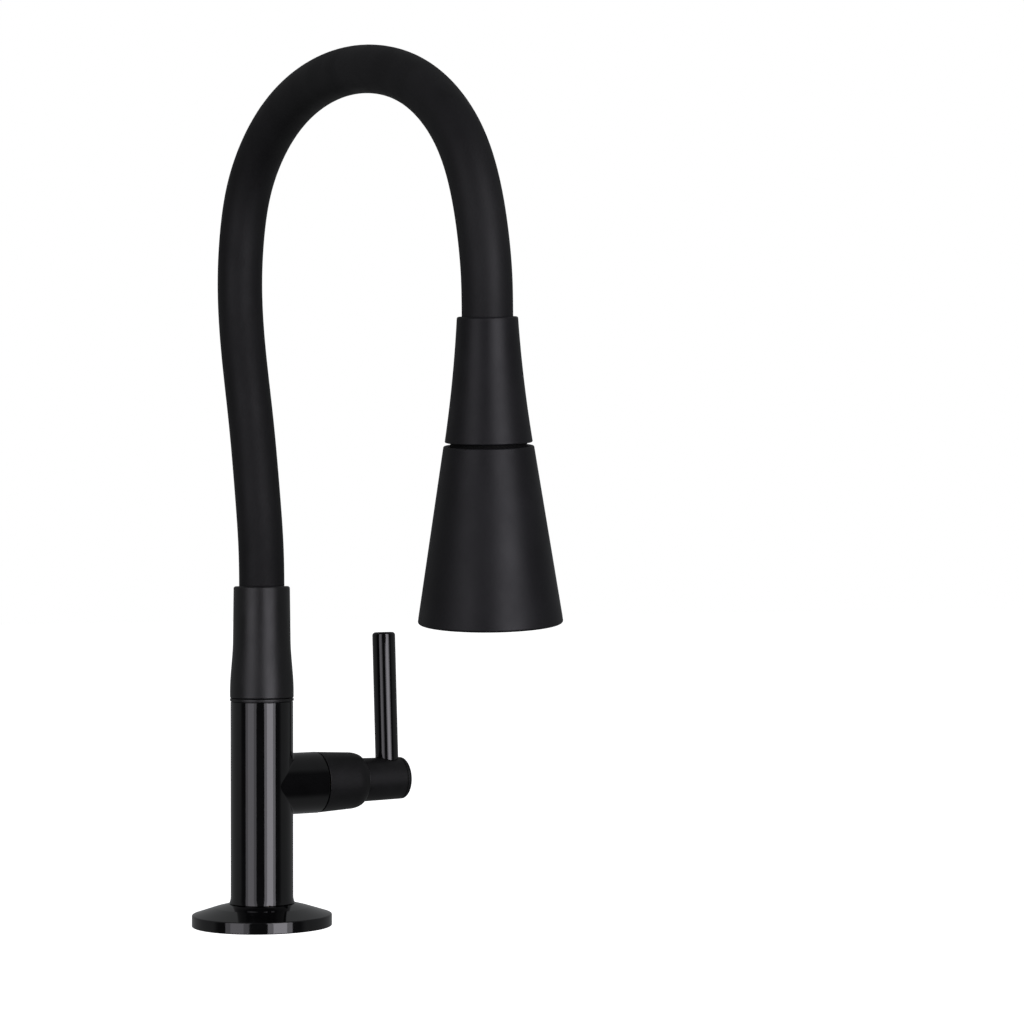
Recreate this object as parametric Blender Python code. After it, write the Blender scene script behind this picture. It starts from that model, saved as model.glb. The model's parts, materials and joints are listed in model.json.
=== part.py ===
"""Kitchen faucet with a side lever and a flexible gooseneck, as separate pieces.

Metres, +Z up. The origin is the centre of the base, on the deck. The valve arm points along +X, and the
gooseneck arches towards -Y, where the user stands. Outlines are lists of (radius, height) or
(radius, height, fillet), turned about their own axis.
"""

import math
from types import SimpleNamespace

import bmesh
import bpy
import numpy as np
from mathutils import Matrix, Vector

MM = 0.001

# Clearances and fineness
GAP = 0.3 * MM  # between pieces that touch
FINE = 28  # sides of the large round pieces
MEDIUM = 20
COARSE = 14
FILLET_STEPS = 1
CUTTER_PHASE = 2.2  # radians of a step, so that a cutter's edges miss those of what it cuts
PAST = 1.0 * MM  # how far a cutter runs past what it cuts

# Base flange, gasket and deck
FLANGE_RADIUS = 35.8 * MM
FLANGE_RIM = 5.8 * MM  # height of the upright rim
FLANGE_CONE_TOP = 9.6 * MM
FLANGE_CONE_RADIUS = 24.0 * MM
FLANGE_HEIGHT = 11.4 * MM
GASKET_THICKNESS = 2.2 * MM
GASKET_WIDTH = 11.0 * MM
FLANGE_LIP = 2.5 * MM  # between the gasket's recess and the rim
DECK_THICKNESS = 20.0 * MM

# Threaded shank through the deck
SHANK_RADIUS = 10.48 * MM
SHANK_BORE = 7.0 * MM
SHANK_BELOW = 58.0 * MM
SHANK_SOCKET = 12.7 * MM  # how deep it screws into the column
SHANK_SEAL = 1.2 * MM
CLAMP_RADIUS = 19.0 * MM
RUBBER_WASHER = 2.5 * MM
STEEL_WASHER = 2.0 * MM
NUT_RADIUS = 17.0 * MM  # over the corners
NUT_HEIGHT = 8.6 * MM

# Column and valve arm
COLUMN_RADIUS = 16.0 * MM
COLUMN_TOP = 114.7 * MM
FOOT_FLARE = 0.75 * MM
FOOT_HEIGHT = 3.4 * MM
ARM_HEIGHT = 71.8 * MM
ARM_WALL = 5.2 * MM  # round the cartridge
ARM_LENGTH = 31.2 * MM  # from the column's axis to the parting line
INLET_RADIUS = 3.5 * MM
INLET_OFFSET = -3.0 * MM
OUTLET_RADIUS = 3.0 * MM
SEAT_X = 8.0 * MM  # floor of the cartridge's bore
SEAT_PORT = 4.0 * MM
OUTLET_WALL = 2.5 * MM  # between the seat's port and the outlet passage

# Ceramic cartridge
CARTRIDGE_RADIUS = 10.3 * MM
ARM_RADIUS = CARTRIDGE_RADIUS + GAP + ARM_WALL
CARTRIDGE_NOSE = 8.8 * MM
CARTRIDGE_OUT = 6.2 * MM  # how far it stands out of the arm
DISC_RADIUS = 6.7 * MM
DISC_THICKNESS = 2.4 * MM
DISC_PORT = 1.7 * MM
DISC_PORT_OUT = 3.55 * MM
DISC_PORT_SIDES = 12
WINDOW_HALF_WIDTH = 3.0 * MM  # of the two openings in the cartridge's side
WINDOW_EDGE = 0.6 * MM
SEAT_SEAL = 2.6 * MM
SPINDLE_RADIUS = 5.0 * MM
SPINDLE_HEAD = 3.6 * MM
SPINDLE_SEAL_AT = 5.0 * MM  # from the spindle's head
CARTRIDGE_SEAL_AT = 3.0 * MM  # from the cartridge's shoulder
CLIP_OUT = 2.5 * MM  # how far a circlip stands out of its shaft
SPLINE_RADIUS = 4.0 * MM
SPLINE_LENGTH = 11.4 * MM
CLIP_THICKNESS = 1.0 * MM
GROOVE_DEPTH = 1.7 * MM
RING_RADIUS = 0.7 * MM  # half an O-ring's thickness

# Handle
HANDLE_GAP = 0.8 * MM
BELL_TAPER = 0.9 * MM
BELL_STRAIGHT = 17.7 * MM
BELL_SHOULDER = 7.5 * MM
BELL_WALL = 3.5 * MM
BELL_CLEARANCE = 1.9 * MM  # round the cartridge
BELL_RADIUS = CARTRIDGE_RADIUS + BELL_CLEARANCE + BELL_WALL
BELL_END_WALL = 7.2 * MM
HUB_RADIUS = 11.4 * MM
HUB_TAPER = 0.4 * MM
HUB_LENGTH = 23.35 * MM
HUB_SPIGOT_RADIUS = 8.0 * MM
HUB_SPIGOT = 13.0 * MM
HUB_COUNTERBORE = 4.6 * MM
HUB_SCREW_SEAT = 3.1 * MM  # from the hub's foot
SCREW_TAP = 1.5 * MM  # from the spline's foot to the end of the screw's hole
SCREW_TIP = 2.0 * MM  # from the end of the hole to the screw's tip
SCREW_RADIUS = 1.6 * MM
SCREW_HEAD_RADIUS = 4.2 * MM
SCREW_HEAD = 4.0 * MM
CAP_THICKNESS = 2.35 * MM
CAP_PLUG = 2.5 * MM
CAP_PLUG_RADIUS = 7.7 * MM
LEVER_FROM_END = 6.35 * MM  # the lever's axis, from the hub's end
LEVER_RADIUS = 6.05 * MM
LEVER_TOP = 77.2 * MM  # above the valve's axis
LEVER_LEAN = 2.7  # degrees that the closed lever leans back
STUD_RADIUS = 3.0 * MM
STUD_TOP = 23.0 * MM
STUD_FOOT = 5.2 * MM
STUD_SIDES = 16

# Gooseneck, across: a rubber sleeve on a wound core, with the water tube inside
SLEEVE_RADIUS = 11.6 * MM
SLEEVE_WALL = 2.6 * MM
CORE_WALL = 2.5 * MM
TUBE_CLEARANCE = 0.8 * MM
TUBE_RADIUS = SLEEVE_RADIUS - SLEEVE_WALL - GAP - CORE_WALL - TUBE_CLEARANCE
TUBE_WALL = 1.4 * MM
FERRULE_WALL = 2.1 * MM  # round the spigot

# Swivel joint in the column's top
CHAMBER_RADIUS = 10.3 * MM
CHAMBER_DEPTH = 22.7 * MM
CHAMBER_FLOOR_GAP = 2.3 * MM
COUNTERBORE_RADIUS = 12.6 * MM
COUNTERBORE_DEPTH = 7.7 * MM
SPIGOT_BORE = TUBE_RADIUS + 2 * GAP
SPIGOT_NECK = SLEEVE_RADIUS - FERRULE_WALL - GAP
SPIGOT_SHOULDER = 2.0 * MM
SPIGOT_RISE = 15.3 * MM  # above the column's top
SPIGOT_SEALS = (4.0 * MM, 9.0 * MM)  # above the spigot's foot
SWIVEL_WASHER = 0.6 * MM
SWIVEL_RING = 1.4 * MM

# Collar
COLLAR_OVERHANG = 0.3 * MM  # past the column
COLLAR_LIP = 2.5 * MM  # round the sleeve
COLLAR_TAPER = 0.35 * MM  # from the waist to the top
COLLAR_RADIUS = COLUMN_RADIUS + COLLAR_OVERHANG
COLLAR_TOP_RADIUS = SLEEVE_RADIUS + GAP + COLLAR_LIP
COLLAR_WAIST = COLLAR_TOP_RADIUS + COLLAR_TAPER
COLLAR_HEIGHT = 57.1 * MM
COLLAR_BELLY = 3.3 * MM  # straight stretch at its foot
COLLAR_EASE = 27.0 * MM  # height over which it narrows to the waist
COLLAR_FLOOR = 2.0 * MM

# Gooseneck, along its line
FERRULE_SOCKET = 17.7 * MM
FERRULE_WEB = 2.0 * MM
NECK_SIDES = 16
CORE_SIDES = 8
TUBE_SIDES = 6
TUBE_PUSHED_ON = 6.0 * MM  # how far the tube goes into the spigot
RING_SPACING = 24.0 * MM
LOWER_BEND_AT = 122.0 * MM  # along the neck, from the column's top
CROWN_BEND_AT = 377.0 * MM
LOWER_BEND_LENGTH = 70.0 * MM
CROWN_BEND_LENGTH = 80.0 * MM
# The neck's centreline above the collar: (X, Y, height above the collar's top), chosen by hand
ROUTE = [
    (0.0, 0.8, 20.0),
    (0.0, 4.2, 45.0),
    (0.0, 11.8, 86.0),
    (0.0, 19.4, 119.0),
    (0.0, 24.0, 156.0),
    (0.0, 21.6, 182.0),
    (0.0, 14.0, 205.0),
    (0.0, -2.0, 225.0),
    (0.0, -25.0, 240.0),
    (0.0, -55.0, 249.5),
    (0.0, -88.7, 252.0),
    (0.0, -121.0, 248.0),
    (0.0, -151.2, 238.0),
    (0.0, -177.3, 222.0),
    (0.0, -195.3, 203.0),
    (0.0, -206.3, 182.0),
    (0.3, -212.2, 160.0),
    (0.9, -214.3, 140.0),
]

# Spray head: lengths are measured down its own axis from its top
HEAD_TOP = (1.5, -213.9, 122.7)  # X, Y, height above the collar's top, in millimetres
HEAD_INSIDE = 42.0 * MM  # straight stretch of the neck's line inside the head
HEAD_LEAN = 6.5  # degrees off the vertical
HEAD_LEAN_TOWARDS = 53.5  # degrees from +X towards +Y, for the head's foot
HEAD_ENTRY = 13.0 * MM  # how far the sleeve goes in
CONE_EDGE = 3.0 * MM  # upright stretch at its top
CONE_LIP = 1.9 * MM  # round the sleeve
CONE_RADIUS = SLEEVE_RADIUS + GAP + CONE_LIP
CONE_FOOT_RADIUS = 19.95 * MM
CONE_FLARE = 0.85  # growth per metre of length squared
UPPER_CONE = 56.6 * MM
HEAD_GROOVE = 1.6 * MM
GROOVE_RADIUS = 17.4 * MM
SHELL_RADIUS = 20.5 * MM
SHELL_FOOT_RADIUS = 33.2 * MM
SHELL_LENGTH = 80.6 * MM
SHELL_WALL = 2.6 * MM
SHELL_WEB = 5.5 * MM
CONE_WEB = 5.0 * MM  # inner flange of the upper cone, between the ferrule and the nipple
FERRULE_SPIGOT = 7.6 * MM  # radius
FERRULE_SPIGOT_LENGTH = 4.0 * MM  # inside the nipple
TUBE_IN_FERRULE = 2.0 * MM
NIPPLE_HEAD = 12.0 * MM  # radius
NIPPLE_RADIUS = 10.0 * MM
DETENT_DEPTH = 3.3 * MM  # of the detent ring's seats, in the cone and in the shell
CUP_RADIUS = 14.0 * MM
CUP_LENGTH = 6.8 * MM
CUP_FLOOR = 2.8 * MM
CUP_WALL = 1.4 * MM
PORT_RADIUS = 2.0 * MM
INNER_PORT = 5.0 * MM
OUTER_PORT = 10.6 * MM
PORT_SIDES = 12
DISTRIBUTOR_RADIUS = 16.0 * MM
DISTRIBUTOR_WALL = 1.5 * MM
DISTRIBUTOR_FLOOR = 3.0 * MM
DISTRIBUTOR_SKIRT = 2.0 * MM
SKIRT_GAP = 1.2 * MM  # to the shell
THROAT_RADIUS = 6.8 * MM  # leads to the aerator
AERATOR_SOCKET = 11.0 * MM
SOCKET_CONE = 2.0 * MM
FACE_INSET = 2.6 * MM  # faceplate's face, above the shell's foot
FACE_THICKNESS = 3.4 * MM
MAT_THICKNESS = 2.0 * MM
NOZZLE_RADIUS = 1.1 * MM
NOZZLE_SIDES = 6
NOZZLE_RINGS = ((16.5 * MM, 8), (23.5 * MM, 16))
AERATOR_RADIUS = 9.3 * MM
AERATOR_BORE = 7.0 * MM
AERATOR_LENGTH = 18.0 * MM
AERATOR_FLANGE = 13.0 * MM
AERATOR_FLANGE_THICKNESS = 1.5 * MM
AERATOR_HOLE = 1.3 * MM
AERATOR_HOLES_OUT = 4.2 * MM
INSERT_INSET = 0.8 * MM


# ---------------------------------------------------------------- materials


def material(name, colour, roughness, metallic=0.0):
    made = bpy.data.materials.new(name)
    made.use_nodes = True
    shader = made.node_tree.nodes["Principled BSDF"]
    shader.inputs["Base Color"].default_value = (*colour, 1.0)
    shader.inputs["Roughness"].default_value = roughness
    shader.inputs["Metallic"].default_value = metallic
    made.diffuse_color = (*colour, 1.0)
    return made


def gloss_black():
    return material("gloss_black", (0.012, 0.012, 0.013), 0.08)


def matt_black():
    return material("matt_black", (0.022, 0.022, 0.024), 0.5)


def sleeve_rubber():
    return material("sleeve_rubber", (0.018, 0.018, 0.019), 0.7)


def seal_rubber():
    return material("seal_rubber", (0.02, 0.02, 0.02), 0.6)


def brass():
    return material("brass", (0.72, 0.53, 0.26), 0.3, 1.0)


def steel():
    return material("steel", (0.6, 0.6, 0.6), 0.3, 1.0)


def ceramic():
    return material("ceramic", (0.85, 0.84, 0.8), 0.2)


def black_plastic():
    return material("black_plastic", (0.025, 0.025, 0.027), 0.4)


def silicone():
    return material("silicone", (0.1, 0.1, 0.105), 0.6)


# ---------------------------------------------------------------- modelling helpers


def clear_scene():
    for old in list(bpy.data.objects):
        bpy.data.objects.remove(old, do_unlink=True)


def axis_empty(name, at, parent=None, rotation=None):
    """An empty at a world place. Its parent is an empty with no rotation."""
    empty = bpy.data.objects.new(name, None)
    bpy.context.collection.objects.link(empty)
    empty.parent = parent
    empty.location = Vector(at) - (world_place(parent) if parent else Vector())
    if rotation:
        empty.rotation_euler = rotation
    return empty


def world_place(empty):
    place = Vector(empty.location)
    while empty.parent:
        empty = empty.parent
        place += empty.location
    return place


def node(name, mesh, finish, parent):
    """One finished piece, shaded smooth except across its edges."""
    obj = bpy.data.objects.new(name, mesh)
    bpy.context.collection.objects.link(obj)
    obj.parent = parent
    mesh.materials.append(finish)
    mesh.shade_smooth()
    mesh.set_sharp_from_angle(angle=math.radians(35))
    return obj


def guide(obj):
    """A shape that only cuts or joins another."""
    obj.hide_render = True
    obj.display_type = "WIRE"
    return obj


def combine(obj, other, operation):
    change = obj.modifiers.new(other.name, "BOOLEAN")
    change.operation = operation
    change.solver = "EXACT"
    change.object = guide(other)


def filleted(outline):
    """The outline's points, with an arc at each corner that names a fillet."""
    points = []
    for i, (radius, height, *fillet) in enumerate(outline):
        corner = Vector((radius, height))
        if not fillet:
            points.append(corner)
            continue
        back = Vector(outline[i - 1][:2]) - corner
        on = Vector(outline[(i + 1) % len(outline)][:2]) - corner
        half = back.angle(on) / 2
        reach = min(fillet[0] / math.tan(half), 0.45 * back.length, 0.45 * on.length)
        bend = reach * math.tan(half)
        middle = corner + (back.normalized() + on.normalized()).normalized() * bend / math.sin(half)
        start = corner + back.normalized() * reach - middle
        end = corner + on.normalized() * reach - middle
        sweep = start.angle_signed(end)
        for step in range(FILLET_STEPS + 1):
            turn = Matrix.Rotation(-sweep * step / FILLET_STEPS, 2)
            points.append(middle + turn @ start)
    return points


def turned_mesh(name, outline, sides, sweep=math.tau):
    """A closed outline turned about Z. A sweep under a full turn is capped at both ends."""
    bm = bmesh.new()
    points = filleted(outline)
    verts = [bm.verts.new((p.x, 0, p.y)) for p in points]
    edges = [bm.edges.new((a, b)) for a, b in zip(verts, verts[1:] + verts[:1])]
    whole = sweep > math.tau - 1e-6
    if not whole:
        bm.faces.new(verts)
    spun = bmesh.ops.spin(
        bm, geom=verts + edges, axis=(0, 0, 1), cent=(0, 0, 0), angle=sweep, steps=sides, use_merge=whole
    )
    if not whole:
        last = [g for g in spun["geom_last"] if isinstance(g, bmesh.types.BMEdge)]
        bmesh.ops.contextual_create(bm, geom=last)
    bmesh.ops.remove_doubles(bm, verts=bm.verts, dist=1e-7)
    bmesh.ops.dissolve_degenerate(bm, edges=bm.edges, dist=1e-7)
    on_axis = [e for e in bm.edges if all(math.hypot(v.co.x, v.co.y) < 1e-7 for v in e.verts)]
    bmesh.ops.delete(bm, geom=on_axis, context="EDGES")
    bmesh.ops.recalc_face_normals(bm, faces=bm.faces)
    mesh = bpy.data.meshes.new(name)
    bm.to_mesh(mesh)
    bm.free()
    return mesh


def turned(name, outline, finish, parent, sides=COARSE, sweep=math.tau):
    return node(name, turned_mesh(name, outline, sides, sweep), finish, parent)


def ring(name, inner, outer, low, high, finish, parent, sides=COARSE):
    outline = [(inner, low), (outer, low), (outer, high), (inner, high)]
    return turned(name, outline, finish, parent, sides)


def o_ring(name, middle, at, finish, parent, thick=RING_RADIUS):
    """A ring of six-sided section, seated in a groove."""
    outline = []
    for step in range(6):
        angle = math.tau * step / 6
        outline.append((middle + thick * math.cos(angle), at + thick * math.sin(angle)))
    return turned(name, outline, finish, parent)


def circlip(name, groove, outer, low, finish, parent):
    outline = [
        (groove + GAP, low),
        (outer, low),
        (outer, low + CLIP_THICKNESS),
        (groove + GAP, low + CLIP_THICKNESS),
    ]
    return turned(name, outline, finish, parent, sweep=math.radians(320))


def cylinder(name, radius, low, high, sides=COARSE):
    """A solid cylinder about Z, used as a cutter or as a joined stretch."""
    mesh = turned_mesh(name, [(0, low), (radius, low), (radius, high), (0, high)], sides)
    mesh.transform(Matrix.Rotation(CUTTER_PHASE / sides, 4, "Z"))
    obj = bpy.data.objects.new(name, mesh)
    bpy.context.collection.objects.link(obj)
    return obj


def along_x(obj, height):
    """Lays a shape made about Z along +X at a height."""
    obj.rotation_euler = (0, math.pi / 2, 0)
    obj.location = (0, 0, height)
    return obj


def block(name, low, high):
    bm = bmesh.new()
    bmesh.ops.create_cube(bm, size=1.0)
    for v in bm.verts:
        for k in range(3):
            v.co[k] = high[k] if v.co[k] > 0 else low[k]
    mesh = bpy.data.meshes.new(name)
    bm.to_mesh(mesh)
    bm.free()
    obj = bpy.data.objects.new(name, mesh)
    bpy.context.collection.objects.link(obj)
    return obj


def grooved(radius, grooves, depth=GROOVE_DEPTH, width=2 * RING_RADIUS + 2 * GAP):
    """Outline points of a shaft's side, upwards, with an O-ring groove centred at each height."""
    points = []
    for at in grooves:
        low, high = at - width / 2, at + width / 2
        points += [(radius, low), (radius - depth, low), (radius - depth, high), (radius, high)]
    return points


# ---------------------------------------------------------------- base, below and above the deck


def base_flange(finish, parent):
    hole = SHANK_RADIUS + GAP
    recess_outer = FLANGE_RADIUS - FLANGE_LIP
    recess_inner = recess_outer - GASKET_WIDTH - 2 * GAP
    recess_top = GASKET_THICKNESS + GAP
    outline = [
        (hole, 0),
        (recess_inner, 0),
        (recess_inner, recess_top),
        (recess_outer, recess_top),
        (recess_outer, 0),
        (FLANGE_RADIUS, 0, 0.4 * MM),
        (FLANGE_RADIUS, FLANGE_RIM, 0.6 * MM),
        (FLANGE_CONE_RADIUS, FLANGE_CONE_TOP, 0.8 * MM),
        (COLUMN_RADIUS + FOOT_FLARE, FLANGE_HEIGHT),
        (hole, FLANGE_HEIGHT),
    ]
    turned("base_flange", outline, finish, parent, FINE)


def base_gasket(finish, parent):
    outer = FLANGE_RADIUS - FLANGE_LIP - GAP
    ring("base_gasket", outer - GASKET_WIDTH, outer, 0, GASKET_THICKNESS, finish, parent, FINE)


def mounting_shank(finish, parent):
    top = FLANGE_HEIGHT + GAP + SHANK_SOCKET - SHANK_SEAL - 2 * GAP
    outline = [
        (SHANK_BORE, -SHANK_BELOW),
        (SHANK_RADIUS, -SHANK_BELOW, 0.8 * MM),
        (SHANK_RADIUS, top, 0.5 * MM),
        (SHANK_BORE, top),
    ]
    turned("mounting_shank", outline, finish, parent, MEDIUM)
    seal = top + GAP
    ring("shank_seal", SHANK_BORE, SHANK_RADIUS - GAP, seal, seal + SHANK_SEAL, seal_rubber(), parent)


def deck_clamp(parent):
    """Rubber washer, steel washer and lock nut, drawn up under the deck."""
    hole = SHANK_RADIUS + GAP
    top = -DECK_THICKNESS - GAP
    foot = top - RUBBER_WASHER
    ring("deck_rubber_washer", hole, CLAMP_RADIUS, foot, top, seal_rubber(), parent, MEDIUM)
    top = foot - GAP
    foot = top - STEEL_WASHER
    ring("deck_steel_washer", hole, CLAMP_RADIUS, foot, top, steel(), parent, MEDIUM)
    top = foot - GAP
    foot = top - NUT_HEIGHT
    outline = [(0, foot), (NUT_RADIUS, foot), (NUT_RADIUS, top), (0, top)]
    nut = turned("shank_nut", outline, brass(), parent, 6)
    bore = cylinder("shank_nut_bore", hole, foot - PAST, top + PAST, MEDIUM)
    combine(nut, bore, "DIFFERENCE")


def column_body(finish, parent):
    """The casting: a socket for the shank, a chamber for the swivel, and the arm for the cartridge."""
    foot = FLANGE_HEIGHT + GAP
    socket_top = foot + SHANK_SOCKET
    chamber_floor = COLUMN_TOP - CHAMBER_DEPTH
    outline = [
        (0, socket_top),
        (SHANK_RADIUS + GAP, socket_top),
        (SHANK_RADIUS + GAP, foot),
        (COLUMN_RADIUS + FOOT_FLARE, foot),
        (COLUMN_RADIUS + FOOT_FLARE / 4, foot + FOOT_HEIGHT / 2),
        (COLUMN_RADIUS, foot + FOOT_HEIGHT),
        (COLUMN_RADIUS, COLUMN_TOP, 0.3 * MM),
        (COUNTERBORE_RADIUS, COLUMN_TOP),
        (COUNTERBORE_RADIUS, COLUMN_TOP - COUNTERBORE_DEPTH),
        (CHAMBER_RADIUS, COLUMN_TOP - COUNTERBORE_DEPTH),
        (CHAMBER_RADIUS, chamber_floor),
        (0, chamber_floor),
    ]
    column = turned("column_body", outline, finish, parent, FINE)
    arm_outline = [(0, 0), (ARM_RADIUS, 0), (ARM_RADIUS, ARM_LENGTH, 0.3 * MM), (0, ARM_LENGTH)]
    arm = turned("column_arm", arm_outline, finish, None, FINE)
    arm.data.transform(Matrix.Rotation(math.pi / FINE, 4, "Z"))
    combine(column, along_x(arm, ARM_HEIGHT), "UNION")
    bore = cylinder("cartridge_bore", CARTRIDGE_RADIUS + GAP, SEAT_X, ARM_LENGTH + PAST, MEDIUM)
    combine(column, along_x(bore, ARM_HEIGHT), "DIFFERENCE")
    port = cylinder("seat_port", SEAT_PORT, INLET_OFFSET - INLET_RADIUS / 3, SEAT_X + PAST)
    combine(column, along_x(port, ARM_HEIGHT), "DIFFERENCE")
    inlet = cylinder("inlet_passage", INLET_RADIUS, socket_top - PAST, ARM_HEIGHT + SEAT_PORT / 4)
    inlet.location.x = INLET_OFFSET
    combine(column, inlet, "DIFFERENCE")
    outlet_foot = ARM_HEIGHT + SEAT_PORT + OUTLET_WALL
    outlet = cylinder("outlet_passage", OUTLET_RADIUS, outlet_foot, chamber_floor + PAST)
    outlet.location.x = SEAT_X + GAP
    combine(column, outlet, "DIFFERENCE")


# ---------------------------------------------------------------- cartridge


def cartridge_places():
    """Where the cartridge's pieces stand along the arm."""
    nose = SEAT_X + GAP + SEAT_SEAL
    fixed_disc = nose + GAP
    turning_disc = fixed_disc + DISC_THICKNESS + GAP
    return SimpleNamespace(
        nose=nose,
        fixed_disc=fixed_disc,
        turning_disc=turning_disc,
        spindle=turning_disc + DISC_THICKNESS + GAP,
        end=ARM_LENGTH + CARTRIDGE_OUT,
    )


def cartridge_body(finish, parent):
    places = cartridge_places()
    bore = DISC_RADIUS + GAP
    neck = SPINDLE_RADIUS + GAP
    bore_end = places.spindle + SPINDLE_HEAD + 2 * GAP
    seal_at = bore_end + CARTRIDGE_SEAL_AT
    outline = [
        (bore, places.nose),
        (CARTRIDGE_NOSE, places.nose),
        (CARTRIDGE_NOSE, bore_end),
        (CARTRIDGE_RADIUS, bore_end),
        *grooved(CARTRIDGE_RADIUS, [seal_at]),
        (CARTRIDGE_RADIUS, places.end, 0.5 * MM),
        (neck, places.end),
        (neck, bore_end),
        (bore, bore_end),
    ]
    body = turned("cartridge_body", outline, finish, parent)
    window = block(
        "cartridge_window",
        (-WINDOW_HALF_WIDTH, -CARTRIDGE_RADIUS - PAST, places.turning_disc + WINDOW_EDGE),
        (WINDOW_HALF_WIDTH, CARTRIDGE_RADIUS + PAST, places.spindle + SPINDLE_HEAD - WINDOW_EDGE),
    )
    window.parent = parent
    combine(body, window, "DIFFERENCE")
    o_ring("cartridge_seal", CARTRIDGE_RADIUS - RING_RADIUS, seal_at, seal_rubber(), parent)


def seat_and_fixed_disc(parent):
    places = cartridge_places()
    foot = places.nose - SEAT_SEAL
    ring("seat_seal", SEAT_PORT + GAP, DISC_RADIUS - GAP, foot, places.nose, seal_rubber(), parent)
    ceramic_disc("fixed_ceramic_disc", places.fixed_disc, parent)


def ceramic_disc(name, low, parent):
    """A disc with two ports on opposite sides."""
    high = low + DISC_THICKNESS
    disc = turned(name, [(0, low), (DISC_RADIUS, low), (DISC_RADIUS, high), (0, high)], ceramic(), parent)
    for side in (-1, 1):
        port = cylinder(f"{name}_port_{side}", DISC_PORT, low - PAST, high + PAST, DISC_PORT_SIDES)
        port.parent = parent
        port.location.x = side * DISC_PORT_OUT
        combine(disc, port, "DIFFERENCE")


def spindle(finish, parent):
    """The shaft that the handle turns: its head drives the turning disc."""
    places = cartridge_places()
    ceramic_disc("turning_ceramic_disc", places.turning_disc, parent)
    head = places.spindle
    head_end = head + SPINDLE_HEAD
    seal_at = head_end + SPINDLE_SEAL_AT
    clip_low = places.end + 2 * GAP
    tip = clip_low + CLIP_THICKNESS + GAP + SPLINE_LENGTH
    tap_end = tip - SPLINE_LENGTH + SCREW_TAP
    groove = SPINDLE_RADIUS - GROOVE_DEPTH
    outline = [
        (0, head),
        (DISC_RADIUS, head),
        (DISC_RADIUS, head_end),
        (SPINDLE_RADIUS, head_end),
        *grooved(SPINDLE_RADIUS, [seal_at]),
        (SPINDLE_RADIUS, clip_low - GAP),
        (groove, clip_low - GAP),
        (groove, clip_low + CLIP_THICKNESS + GAP),
        (SPLINE_RADIUS, clip_low + CLIP_THICKNESS + GAP),
        (SPLINE_RADIUS, tip, 0.4 * MM),
        (SCREW_RADIUS + GAP, tip),
        (SCREW_RADIUS + GAP, tap_end),
        (0, tap_end),
    ]
    turned("spindle", outline, finish, parent)
    o_ring("spindle_seal", SPINDLE_RADIUS - RING_RADIUS, seal_at, seal_rubber(), parent)
    circlip("spindle_circlip", groove, SPINDLE_RADIUS + CLIP_OUT, clip_low, steel(), parent)
    return tip, tap_end


# ---------------------------------------------------------------- handle


def handle_bell(finish, parent):
    """The hood over the cartridge's end, with a rounded shoulder."""
    foot = ARM_LENGTH + HANDLE_GAP
    shoulder = foot + BELL_STRAIGHT
    end = shoulder + BELL_SHOULDER
    shoulder_radius = BELL_RADIUS - BELL_TAPER
    end_radius = HUB_RADIUS + GAP
    steps = 4
    curve = []
    for step in range(steps + 1):
        angle = math.pi / 2 * step / steps
        radius = end_radius + (shoulder_radius - end_radius) * math.cos(angle)
        curve.append((radius, shoulder + BELL_SHOULDER * math.sin(angle)))
    inner = BELL_RADIUS - BELL_WALL
    outline = [
        (inner, foot),
        (BELL_RADIUS, foot, 0.3 * MM),
        *curve,
        (HUB_SPIGOT_RADIUS + GAP, end),
        (HUB_SPIGOT_RADIUS + GAP, end - BELL_END_WALL),
        (inner, end - BELL_END_WALL),
    ]
    turned("handle_bell", outline, finish, parent, FINE)
    return end


def lever_hub(bell_end, spindle_tip, tap_end, finish, parent):
    """Sits on the spindle's splines, and carries the lever."""
    foot = bell_end + GAP
    end = foot + HUB_LENGTH
    screw_seat = foot + HUB_SCREW_SEAT
    plug_floor = end - CAP_PLUG - GAP
    outline = [
        (SPLINE_RADIUS + GAP, foot - HUB_SPIGOT),
        (HUB_SPIGOT_RADIUS, foot - HUB_SPIGOT),
        (HUB_SPIGOT_RADIUS, foot),
        (HUB_RADIUS, foot),
        (HUB_RADIUS - HUB_TAPER, end, 0.2 * MM),
        (CAP_PLUG_RADIUS + GAP, end),
        (CAP_PLUG_RADIUS + GAP, plug_floor),
        (HUB_COUNTERBORE, plug_floor),
        (HUB_COUNTERBORE, screw_seat),
        (SCREW_RADIUS + GAP, screw_seat),
        (SCREW_RADIUS + GAP, spindle_tip + GAP),
        (SPLINE_RADIUS + GAP, spindle_tip + GAP),
    ]
    hub = turned("lever_hub", outline, finish, parent, FINE)
    stud_hole = cylinder("lever_stud_hole", STUD_RADIUS + GAP, STUD_FOOT, HUB_RADIUS + PAST)
    stand(stud_hole, end - LEVER_FROM_END, parent)
    combine(hub, stud_hole, "DIFFERENCE")
    hub_screw(screw_seat, tap_end + SCREW_TIP, parent)
    hub_end_cap(end, finish, parent)
    lever(end - LEVER_FROM_END, finish, parent)


def stand(obj, along, parent):
    """Stands a shape made about Z upright on the valve's axis, at a distance along it."""
    obj.parent = parent
    obj.rotation_euler = (0, -math.pi / 2, 0)
    obj.location = (0, 0, along)


def hub_screw(seat, tip, parent):
    """Holds the hub on the spindle."""
    head = seat + GAP
    outline = [
        (0, tip),
        (SCREW_RADIUS, tip),
        (SCREW_RADIUS, head),
        (SCREW_HEAD_RADIUS, head),
        (SCREW_HEAD_RADIUS, head + SCREW_HEAD),
        (SCREW_HEAD_RADIUS / 2, head + SCREW_HEAD),
        (SCREW_HEAD_RADIUS / 2, head + SCREW_HEAD / 2),
        (0, head + SCREW_HEAD / 2),
    ]
    turned("hub_screw", outline, steel(), parent)


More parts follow.
